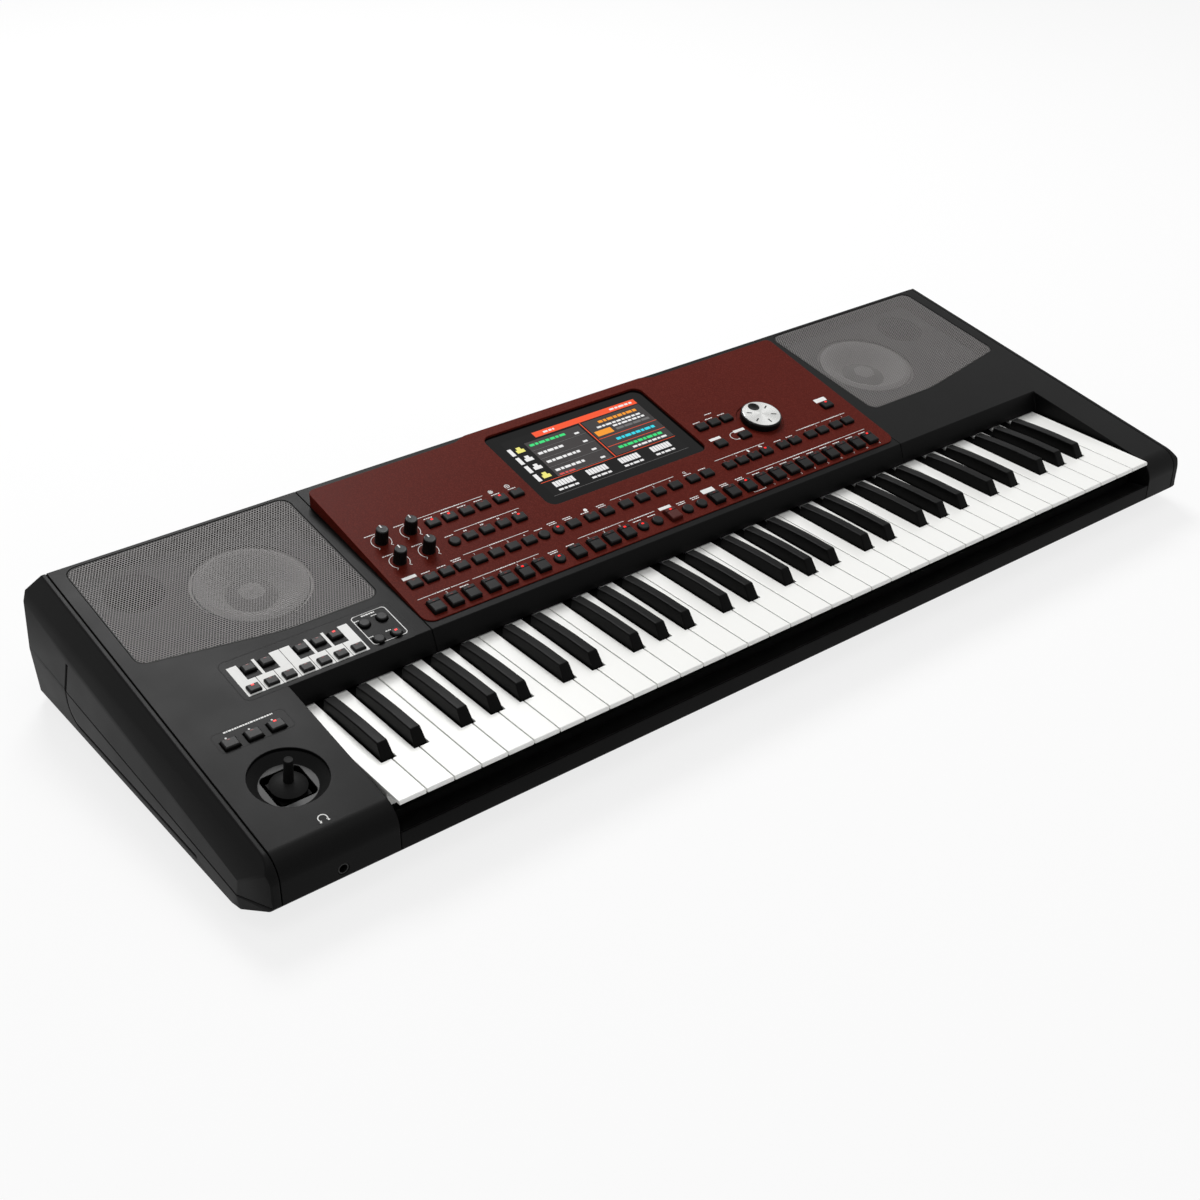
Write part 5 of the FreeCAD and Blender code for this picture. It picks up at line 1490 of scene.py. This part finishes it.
@dataclass
class Dial:
    """The value dial: a turned metal cap on a black skirt, with marks and a finger dimple."""

    x: float = 161.48
    row: float = 85.0
    height: float = 6.6
    skirt_edge: float = 0.6
    cap_edge: float = 0.25
    mark: tuple[float, float] = (5.2, 1.3)
    mark_reach: float = 12.0
    dimple_reach: float = 11.5
    dimple_radius: float = 4.6
    dimple_depth: tuple[float, float] = (-1.0, -0.005)
    ring: float = 1.0

    def in_dimple(self, face: Face) -> bool:
        """Says whether a face of the cap is in its finger dimple."""
        spot = PANEL.local(face.center) - Vector((self.x, self.row + self.dimple_reach, self.height))
        return spot.xy.length < self.dimple_radius and self.dimple_depth[0] < spot.z < self.dimple_depth[1]

    def build(self) -> None:
        """Builds the skirt, the cap with its glossy dimple, and five marks."""
        Edged("value_dial", "value_dial", "knob_black", Finish.KNOB, self.skirt_edge, 3).build()
        cap = Edged("dial_cap", "value_dial", "dial_silver", Finish.DIAL, self.cap_edge).build()
        Bench.paint(cap, Finish.DIMPLE, self.in_dimple)
        marks = Print()
        marks.arc(self.x, self.row + self.dimple_reach, self.dimple_radius + self.ring / 2, self.ring)
        for bearing in range(150, 450, 60):
            dx, dy = turned(self.mark_reach, bearing)
            marks.bar(self.x + dx, self.row + dy, *self.mark, bearing)
        layer = marks.make("dial_marks", PANEL, Finish.DARK_INK, self.height)
        Bench.hand_in(layer, "value_dial", "knob_black")


@dataclass
class Stick:
    """The joystick in its bowl: a low dome with a tapered stick, on two pivot pins."""

    x: float = -444.436
    row: float = -81.581
    pivot: float = -15.0
    rim_edge: float = 0.5
    # Lifts between which the bowl's floor gets the painted reflection.
    floor: tuple[float, float] = (-11.0, -6.0)
    dome_radius: float = 14.0
    dome_low: float = 6.2
    dome_edge: float = 0.8
    dome_top: float = 11.6
    dome_steps: int = 8
    sides: int = 48
    foot: float = 3.9
    tip: float = 3.4
    tip_edge: float = 0.5
    tip_rings: tuple[tuple[float, float], ...] = ((0.7, 0.3), (1.0, -0.2))
    shaft_low: float = -2.5
    reach: float = 32.0
    pin: tuple[float, float] = (2.0, 24.0)
    pin_edge: float = 0.3

    def stick(self) -> Piece:
        """Models the stick upright, with its pivot at the origin.

        Returns:
            The stick with its pins.
        """
        edge = self.dome_low + self.dome_edge
        middle = Matrix.Translation((0, 0, (edge - self.dome_edge / 2) * MM))
        stick = Bench.drum(self.dome_radius, self.dome_edge, middle, "stick", self.sides)
        fall = (self.dome_top - edge) / self.dome_radius ** 2
        share, top = self.tip / self.foot, (self.reach - 0.01) * MM
        with Bench.editing(stick):
            Bench.pick(stick, lambda f: f.normal.z > 0.9)
            radius, level = self.dome_radius, edge
            for i in range(1, self.dome_steps + 1):
                inner = self.dome_radius + (self.foot - self.dome_radius) * i / self.dome_steps
                rise = self.dome_top - fall * inner ** 2
                Bench.sink(radius - inner, level - rise)
                radius, level = inner, rise
            Bench.pull(0, 0, self.reach - level)
            bpy.ops.transform.resize(value=(share, share, 1.0), center_override=(0, 0, self.reach * MM))
            Bench.round_off(self.tip_edge, 3)
            Bench.pick(stick, lambda f: f.normal.z > 0.999 and f.calc_center_median().z > top)
            for ring in self.tip_rings:
                Bench.sink(*ring)
            Bench.pick(stick, lambda f: f.normal.z < -0.9 and f.calc_center_median().z < edge * MM)
            bpy.ops.mesh.inset(thickness=(self.dome_radius - self.foot) * MM)
            Bench.pull(0, 0, self.shaft_low - self.dome_low)
        pins = Bench.drum(*self.pin, Matrix.Rotation(math.radians(90), 4, "X"), "pins", self.sides // 2)
        with Bench.editing(pins):
            Bench.pick(pins, lambda f: abs(f.normal.y) > 0.9)
            Bench.round_off(self.pin_edge, 2)
        return Bench.join([stick, pins], "joystick_stick_domed")

    def build(self) -> None:
        """Rounds the bowl, paints its floor a lighter grey as a painted reflection, and sets the stick in."""
        bowl = Edged("joystick_housing", "case", "inner_plastic", Finish.BOTTOM, self.rim_edge, whole=False)
        # Painted reflection: the bowl's floor is painted a lighter grey, standing for the lamps' reflection
        # on it.
        Bench.paint(bowl.build(), Finish.INNER, lambda face: TOP.floors(face, *self.floor))
        stick = self.stick()
        stick.data.transform(TOP.matrix(self.x, self.row, self.pivot))
        Bench.smooth(stick)
        Bench.dress(stick, Finish.RUBBER)
        Bench.hand_in(stick, "joystick_stick", "rubber_black", "joystick_stick")


@dataclass
class Speakers:
    """Perforated grilles with the woofers and ports behind them."""

    pitch: float = 2.45
    wall: float = 0.66
    sheet: float = 0.3
    rim_height: float = 1.2
    rim: float = 0.9
    basket_edge: float = 0.5
    port_edge: float = 0.8
    woofer: tuple[float, float] = (353.0, 135.6)
    # Inner and outer radius of the painted shade ring round each dust cap.
    neck: tuple[float, float] = (11.0, 22.0)

    def on_neck(self, face: Face) -> bool:
        """Says whether a face is on the ring round a cone's dust cap that gets a darker painted shade."""
        spot = TOP.local(face.center)
        return self.neck[0] < math.hypot(abs(spot.x) - self.woofer[0], spot.y - self.woofer[1]) < self.neck[1]

    def cell(self, radius: float) -> Piece:
        """Models one six-sided hole with its walls, flat at the origin.

        Args:
            radius: Radius of the hole's corners with half of the wall.

        Returns:
            The flat ring.
        """
        cell = Bench.add("circle", Matrix(), "cell", vertices=6, radius=radius * MM, fill_type="NGON")
        with Bench.editing(cell):
            bpy.ops.mesh.select_all(action="SELECT")
            bpy.ops.mesh.inset(thickness=self.wall / 2 * MM)
            bpy.ops.mesh.delete(type="FACE")
        return cell

    def outline(self, node: str) -> list[Vector]:
        """Reads a grille's outline on the sloping face, in metres.

        Args:
            node: The grille's name.

        Returns:
            The corners in order.
        """
        cast = Bench.cast(node, f"{node}_cast")
        cast.data.transform(TOP.inverse())
        face = max((f for f in cast.data.polygons if f.normal.z > 0.99), key=lambda f: f.area)
        points = [cast.data.vertices[i].co.copy() for i in face.vertices]
        Bench.drop(cast)
        return points

    def grille(self, node: str) -> None:
        """Builds one perforated sheet inside a plain rim, dark grey as a painted shadow of the gap round the
        grille.

        Args:
            node: The grille's name.
        """
        points = self.outline(node)
        left, right = min(p.x for p in points), max(p.x for p in points)
        front, rear = min(p.y for p in points), max(p.y for p in points)
        radius = self.pitch / math.sqrt(3)
        sheet = self.cell(radius)
        sheet.data.transform(Matrix.Translation((left, front, 0)))
        columns, pairs = (right - left) / self.pitch / MM, (rear - front) / (3 * radius) / MM
        for count, x, y in ((2, self.pitch / 2, 1.5 * radius), (math.ceil(columns), self.pitch, 0),
                            (math.ceil(pairs), 0, 3 * radius)):
            Bench.modify(sheet, "ARRAY", count=count, use_relative_offset=False, use_constant_offset=True,
                         constant_offset_displace=(x * MM, y * MM, 0))
        with Bench.editing(sheet, "VERT"):
            bpy.ops.mesh.select_all(action="SELECT")
            bpy.ops.mesh.remove_doubles(threshold=1e-5)
            Bench.pick(sheet, lambda v: not self.inside(v.co, points), "verts")
            bpy.ops.mesh.delete(type="VERT")
        Bench.modify(sheet, "SOLIDIFY", thickness=self.sheet * MM, offset=-1.0)
        piece = Bench.settle(sheet, f"{node}_mesh")
        rim = Bench.settle(self.border(points), f"{node}_rim")
        # The rim's dark grey is painted shadow of the gap at the grille's edge.
        for part, finish in ((piece, Finish.GRILLE), (rim, Finish.RIM)):
            part.data.transform(TOP.matrix(0, 0, points[0].z / MM))
            Bench.dress(part, finish)
        Bench.hand_in(piece, "case", "grille_grey", node)
        Bench.hand_in(rim, "case", "grille_grey")

    def border(self, points: Sequence[Vector]) -> Piece:
        """Models the plain rim along an outline.

        Args:
            points: The outline's corners.

        Returns:
            The rim.
        """
        mesh = bpy.data.meshes.new("rim")
        mesh.from_pydata([(p.x, p.y, 0.0) for p in points], [], [list(range(len(points)))])
        rim = bpy.data.objects.new("rim", mesh)
        bpy.context.scene.collection.objects.link(rim)
        with Bench.editing(rim):
            bpy.ops.mesh.select_all(action="SELECT")
            bpy.ops.mesh.inset(thickness=self.rim * MM)
            bpy.ops.mesh.delete(type="FACE")
        Bench.modify(rim, "SOLIDIFY", thickness=self.rim_height * MM, offset=-1.0)
        return rim

    @staticmethod
    def inside(spot: Vector, points: Sequence[Vector]) -> bool:
        """Says whether a spot is inside an outline.

        Args:
            spot: The spot.
            points: The outline's corners.

        Returns:
            Whether it is inside.
        """
        hit = False
        for i, a in enumerate(points):
            b = points[i - 1]
            if (a.y > spot.y) != (b.y > spot.y) and spot.x < (b.x - a.x) * (spot.y - a.y) / (b.y - a.y) + a.x:
                hit = not hit
        return hit

    def build(self) -> None:
        """Builds both grilles and dresses what shows through them."""
        for node in ("left_grille", "right_grille"):
            self.grille(node)
        Edged("woofer_frames", "case", "speaker_metal", Finish.SPEAKER, self.basket_edge).build()
        cones = Edged("woofer_cones", "woofer_cones", "cone_paper", Finish.CONE, self.basket_edge).build()
        # Painted shade: the ring round each dust cap is painted darker, where the cone's neck falls in shade.
        Bench.paint(cones, Finish.NECK, self.on_neck)
        Edged("port_tubes", "case", "inner_plastic", Finish.WELL, self.port_edge).build()


# Fields of the screen: colour, left end and front edge, width and depth, as shares of the screen
BLOCKS = (
    (Finish.UI_ORANGE, 0.23, 0.915, 0.77, 0.085), (Finish.UI_ORANGE, 0.545, 0.26, 0.006, 0.65),
    (Finish.UI_ORANGE, 0.56, 0.575, 0.44, 0.006), (Finish.UI_ORANGE, 0.56, 0.425, 0.44, 0.006),
    (Finish.UI_ORANGE, 0.0, 0.25, 1.0, 0.006), (Finish.UI_ROW, 0.56, 0.27, 0.44, 0.63),
    (Finish.UI_AMBER, 0.575, 0.62, 0.12, 0.085), (Finish.UI_GREY, 0.0, 0.02, 1.0, 0.004),
)
# Captions of the screen: colour, left end and middle row, length and height
CAPTIONS = (
    (Finish.UI_WHITE, 0.80, 0.957, 0.17, 0.028), (Finish.UI_WHITE, 0.30, 0.957, 0.08, 0.028),
    (Finish.UI_AMBER, 0.66, 0.83, 0.30, 0.04), (Finish.UI_WHITE, 0.62, 0.755, 0.34, 0.028),
    (Finish.UI_WHITE, 0.72, 0.705, 0.24, 0.028), (Finish.UI_CYAN, 0.66, 0.50, 0.30, 0.038),
    (Finish.UI_GREEN, 0.62, 0.37, 0.34, 0.038), (Finish.UI_WHITE, 0.70, 0.305, 0.26, 0.028),
    (Finish.UI_RED, 0.15, 0.285, 0.12, 0.028),
)
# Rows of the screen's list: caption colour and length, icon colour
PARTS = (
    (Finish.UI_GREEN, 0.26, Finish.UI_YELLOW), (Finish.UI_WHITE, 0.18, Finish.UI_WHITE),
    (Finish.UI_WHITE, 0.24, Finish.UI_WHITE), (Finish.UI_WHITE, 0.22, Finish.UI_YELLOW),
)


@dataclass
class Display:
    """Cover glass with a picture of the machine's own, generic menus."""

    left: float = -82.0
    right: float = 72.0
    front: float = 82.5
    rear: float = 167.6
    lift: float = -2.5
    film: float = 0.03
    dash: float = 2.6
    glass_edge: float = 0.3

    def fields(self) -> dict[Finish, Print]:
        """Draws the lit fields by their shares of the screen.

        Returns:
            One layer of marks for each colour.
        """
        wide, deep = self.right - self.left, self.rear - self.front
        layers = {finish: Print() for finish in Finish if finish.name.startswith("UI_")}

        def put(finish: Finish, u: float, v: float, w: float, h: float) -> None:
            """Draws a field by its left front corner and sizes."""
            x, row = self.left + (u + w / 2) * wide, self.front + (v + h / 2) * deep
            layers[finish].bar(x, row, w * wide, h * deep)

        def text(finish: Finish, u: float, v: float, w: float, h: float) -> None:
            """Draws a caption in dashes by its left end."""
            x, row = self.left + (u + w / 2) * wide, self.front + v * deep
            layers[finish].word(x, row, w * wide, h * deep, self.dash)

        for block in BLOCKS:
            put(*block)
        for caption in CAPTIONS:
            text(*caption)
        for i, (tint, share, icon) in enumerate(PARTS):
            base, key = 0.74 - 0.155 * i, 0.06 + 0.24 * i
            put(Finish.UI_ROW, 0.13, base, 0.40, 0.145)
            text(tint, 0.15, base + 0.085, share, 0.036)
            text(Finish.UI_WHITE, 0.46, base + 0.04, 0.05, 0.028)
            put(Finish.UI_GREY, 0.13, base - 0.006, 0.40, 0.005)
            put(icon, 0.045, base + 0.03, 0.055, 0.05)
            put(icon, 0.058, base + 0.08, 0.028, 0.04)
            put(Finish.UI_WHITE, 0.0, base + 0.01, 0.026, 0.12)
            put(Finish.UI_GREY, 0.72 + 0.065 * i, 0.63, 0.058, 0.035)
            for step in range(7):
                put(Finish.UI_WHITE, key + 0.021 * step, 0.13, 0.018, 0.085)
            text(Finish.UI_WHITE, key, 0.08, 0.15, 0.028)
        return layers

    def build(self) -> None:
        """Builds the glass, the dark field and the lit fields on it."""
        Edged("display_glass", "case", "glass_dark", Finish.GLASS, self.glass_edge).build()
        ground = Print()
        ground.bar((self.left + self.right) / 2, (self.front + self.rear) / 2, self.right - self.left,
                   self.rear - self.front)
        Bench.hand_in(ground.make("screen_field", PANEL, Finish.SCREEN, self.lift, self.film), "case", "lcd")
        for finish, layer in self.fields().items():
            level = self.lift + {Finish.UI_ROW: 1, Finish.UI_WHITE: 3}.get(finish, 2) * self.film
            Bench.hand_in(layer.make(finish.value.name, PANEL, finish, level, self.film), "case", "lcd")


@dataclass
class Inside:
    """Pieces that keep their CAD shape and only get a finish."""

    def build(self) -> None:
        """Dresses the CAD nodes that stay."""
        finishes = {"lcd_module": Finish.SCREEN, "joystick_gimbal": Finish.WELL,
                    "keybed_frame": Finish.CHASSIS, "key_contact_board": Finish.BOARD,
                    "main_board": Finish.BOARD, "panel_board": Finish.BOARD, "power_supply": Finish.SUPPLY}
        for node, finish in finishes.items():
            Bench.dress_node(node, finish)


@dataclass
class RearBay:
    """The socket plate in the rear of the case, with its nuts, contacts and switch marks."""

    face: float = 180.0
    level: float = 31.0
    plate_edge: float = 0.3
    socket_edge: float = 0.25
    rocker_edge: float = 0.5
    jacks: tuple[float, ...] = (-205.0, -181.0, -157.0, -133.0, -109.0)
    nut_radius: float = 7.2
    nut_bore: float = 5.3
    nut_height: float = 1.8
    nut_sides: int = 24
    knurl: tuple[float, float] = (0.15, 0.35)
    dins: tuple[float, float] = (-70.2, -44.2)
    din_depth: float = 8.6
    pin_ring: float = 4.6
    pin: float = 0.8
    pin_hole: float = 0.7
    pin_length: float = 1.0
    pin_wall: float = 0.4
    pin_sides: int = 16
    tongues: tuple[tuple[float, float, float], ...] = ((-8.0, 5.6, 3.4), (16.0, 11.4, 2.0))
    tongue_length: float = 9.0
    tongue_depth: float = 6.5
    tongue_edge: float = 0.5
    rocker: float = 136.2
    mark_shift: float = 5.0
    mark_film: float = 0.5
    mark_buried: float = 0.2
    off_ring: tuple[float, float] = (1.7, 0.7)
    on_line: tuple[float, float] = (0.8, 4.0)

    def facing(self, x: float, depth: float = 0.0) -> Matrix:
        """Gives a place on the socket plate, looking out to the rear."""
        spot = Matrix.Translation((x * MM, (self.face - depth) * MM, self.level * MM))
        return spot @ Matrix.Rotation(math.radians(-90), 4, "X")

    def knurled(self, face: bmesh.types.BMFace) -> bool:
        """Takes every second outer wall of a nut.

        Args:
            face: A face of the nut.

        Returns:
            Whether it is one of them.
        """
        bearing = math.degrees(math.atan2(face.normal.y, face.normal.x)) * self.nut_sides / 360
        outer = face.calc_center_median().xy.length > 0.9 * self.nut_radius * MM
        return abs(face.normal.z) < 0.1 and outer and round(bearing - 0.5) % 2 == 0

    def nuts(self) -> None:
        """Models a ring nut with a knurled edge and screws one on every jack bush."""
        middle = Matrix.Translation((0, 0, self.nut_height / 2 * MM))
        nut = Bench.drum(self.nut_radius, self.nut_height, middle, "nut", self.nut_sides)
        with Bench.editing(nut):
            Bench.pick(nut, lambda f: abs(f.normal.z) > 0.9)
            bpy.ops.mesh.inset(thickness=(self.nut_radius - self.nut_bore) * MM)
            bpy.ops.mesh.bridge_edge_loops()
            Bench.pick(nut, self.knurled)
            bpy.ops.mesh.inset(thickness=self.knurl[0] * MM, use_individual=True)
            bpy.ops.transform.shrink_fatten(value=-self.knurl[1] * MM)
        Bench.smooth(nut, 30.0)
        row = [Bench.copy(nut, self.facing(x), "nut_copy") for x in self.jacks]
        Bench.hand_in(Bench.dress(Bench.join(row, "jack_nuts"), Finish.STEEL), "case", "screw_steel")
        Bench.drop(nut)

    def contacts(self) -> None:
        """Sets five contact sleeves in each round socket."""
        sleeve = Bench.drum(self.pin, self.pin_length, Matrix(), "sleeve", self.pin_sides)
        with Bench.editing(sleeve):
            Bench.pick(sleeve, lambda f: f.normal.z > 0.9)
            Bench.sink(self.pin * self.pin_wall, self.pin_hole)
        row = []
        for x in self.dins:
            for bearing in range(0, 225, 45):
                dx, dy = turned(self.pin_ring, bearing)
                spot = self.facing(x, self.din_depth) @ Matrix.Translation((dx * MM, -dy * MM, 0))
                row.append(Bench.copy(sleeve, spot, "sleeve_copy"))
        Bench.hand_in(Bench.dress(Bench.join(row, "din_contacts"), Finish.STEEL), "case", "screw_steel")
        Bench.drop(sleeve)

    def blades(self) -> None:
        """Sets a tongue in each square socket."""
        blades = []
        for x, wide, high in self.tongues:
            size = (wide, high, self.tongue_length)
            blades.append(Bench.cube(size, self.facing(x, self.tongue_depth), "tongue"))
            with Bench.editing(blades[-1]):
                Bench.pick(blades[-1], lambda f: f.normal.y > 0.9)
                Bench.round_off(self.tongue_edge, 2)
        Bench.hand_in(Bench.dress(Bench.join(blades, "socket_tongues"), Finish.INK), "case", "socket_black")

    def switch_marks(self, rocker: Piece) -> None:
        """Prints a line and a ring on the two halves of the finished rocker.

        Args:
            rocker: The finished rocker.
        """
        ring, line, marks = Print(), Print(), []
        ring.arc(0, 0, *self.off_ring)
        line.bar(0, 0, *self.on_line)
        for ink, shift in ((ring, -self.mark_shift), (line, self.mark_shift)):
            place = self.facing(self.rocker + shift)
            place.translation.y += Bench.height(rocker, place) * MM
            flat = ink.make("mark", Plane(), Finish.INK, 0.0, self.mark_film)
            flat.data.transform(place @ Matrix.Translation((0, 0, -self.mark_buried * self.mark_film * MM)))
            marks.append(flat)
        Bench.hand_in(Bench.join(marks, "switch_marks"), "power_switch", "white_key")

    def build(self) -> None:
        """Rounds the plate and its sockets and adds their small parts."""
        Edged("jack_panel", "case", "inner_plastic", Finish.BAY, self.plate_edge, whole=False).build()
        Edged("rear_sockets", "case", "socket_black", Finish.SOCKET, self.socket_edge, whole=False).build()
        Edged("headphone_jack", "case", "socket_black", Finish.SOCKET, self.plate_edge).build()
        rocker = Edged("power_switch", "power_switch", "socket_black", Finish.SOCKET, self.rocker_edge)
        self.switch_marks(rocker.build())
        self.nuts()
        self.contacts()
        self.blades()


@dataclass
class Screws:
    """Pan-head screws in the underside, with cross recesses."""

    edge: float = 0.5
    edge_angle: float = 68.75
    slot: tuple[float, float, float] = (4.2, 0.9, 1.4)

    def build(self) -> None:
        """Rounds the heads and cuts a cross into each."""
        screws = Bench.cast("case_screws", "case_screws_crossed")
        low = min(v.co.z for v in screws.data.vertices)
        flat = [f for f in screws.data.polygons if f.normal.z < -0.9 and f.center.z < low + 1e-5]
        heads = [f.center.copy() for f in flat]
        blades = [Bench.cube(self.slot, Matrix.Translation(spot) @ Matrix.Rotation(turn, 4, "Z"), "blade")
                  for spot in heads for turn in (0.0, math.pi / 2)]
        cross = Bench.join(blades, "crosses")
        Bench.bevel(screws, self.edge, 3, self.edge_angle)
        Bench.modify(screws, "BOOLEAN", operation="DIFFERENCE", object=cross, solver="EXACT", use_self=True)
        Bench.drop(cross)
        Bench.smooth(screws)
        Bench.dress(screws, Finish.STEEL)
        Bench.hand_in(screws, "case", "screw_steel", "case_screws")


@dataclass
class Studio:
    """Floor, light and camera."""

    eye: tuple[float, float, float] = (-877.25, -1011.61, 816.55)
    turn: tuple[float, float, float] = (2.0342, -0.7029, 0.4012)
    lens: float = 51.85
    ambient: float = 0.36
    shadow: float = 0.2
    floor_side: float = 40.0
    floor_level: float = -0.2
    boxes: tuple[tuple, ...] = (("rear_box", (0.5, 1.8, 2.5), (-0.3, 0.0, 0.1), 1.2, 68.0),
                                ("top_box", (-0.2, -0.9, 3.0), (0.0, 0.0, 0.05), 1.6, 13.0))

    def camera(self) -> None:
        """Sets the camera at the photograph's view."""
        spin = Vector(self.turn)
        rows = Quaternion(spin.normalized(), spin.length).to_matrix()
        axes = Matrix((rows[0], -rows[1], -rows[2])).transposed().to_4x4()
        bpy.ops.object.camera_add()
        camera = bpy.context.active_object
        camera.data.lens, camera.data.sensor_width = self.lens, 36.0
        camera.data.clip_start, camera.data.clip_end = 0.01, 60.0
        camera.matrix_world = Matrix.Translation(Vector(self.eye) * MM) @ axes
        bpy.context.scene.camera = camera

    def world(self) -> None:
        """Makes a soft white room that shows as white."""
        graph = Graph("studio", room=True)
        room = graph.value("ShaderNodeBackground", {"Color": WHITE, "Strength": self.ambient})
        white = graph.value("ShaderNodeBackground", {"Color": WHITE, "Strength": 1.0})
        seen = graph.seen("Camera", "Glossy", "Transmission")
        graph.close(graph.value("ShaderNodeMixShader", {0: seen, 1: room, 2: white}), "World")
        bpy.context.scene.world = graph.block

    def floor(self) -> None:
        """Lays a white floor that keeps a soft shadow."""
        level = Matrix.Translation((0.0, 0.0, self.floor_level * MM))
        floor = Bench.add("plane", level, "floor", size=self.floor_side)
        graph = Graph("floor_white")
        shadow = graph.value("ShaderNodeBsdfDiffuse", {"Color": (0.9, 0.9, 0.9, 1.0)})
        white = graph.value("ShaderNodeEmission", {"Color": WHITE, "Strength": 1.0})
        share = graph.seen("Camera", "Glossy") * (1 - self.shadow)
        surface = graph.value("ShaderNodeMixShader", {0: share, 1: shadow, 2: white})
        floor.data.materials.append(graph.close(surface))

    def lamp(self, name: str, spot: Sequence[float], aim: Sequence[float], size: float, power: float) -> None:
        """Hangs one soft box.

        Args:
            name: The lamp's name.
            spot: Its place in metres.
            aim: The point that it faces.
            size: Its side in metres.
            power: Its power in watts.
        """
        bpy.ops.object.light_add(type="AREA", location=spot)
        lamp = bpy.context.active_object
        lamp.name = name
        lamp.data.shape, lamp.data.size, lamp.data.energy = "SQUARE", size, power
        lamp.rotation_euler = (Vector(aim) - Vector(spot)).to_track_quat("-Z", "Y").to_euler()

    def build(self) -> None:
        """Sets up the whole studio."""
        bpy.context.scene.view_settings.view_transform = "Standard"
        self.camera()
        self.world()
        self.floor()
        for box in self.boxes:
            self.lamp(*box)


def main() -> None:
    """Builds the keyboard piece by piece."""
    logging.basicConfig(level=logging.INFO, format="%(name)s %(message)s")
    panel = Edged("control_panel", "case", "panel_red", Finish.PANEL, PANEL_EDGE, 3, whole=False)
    for assembly in (Studio(), CaseShell(), KeyRows(), panel, Buttons(), PanelPrint(), Knobs(), Dial(),
                     Stick(), Speakers(), Display(), RearBay(), Screws(), Inside()):
        assembly.build()


if __name__ == "__main__":
    main()
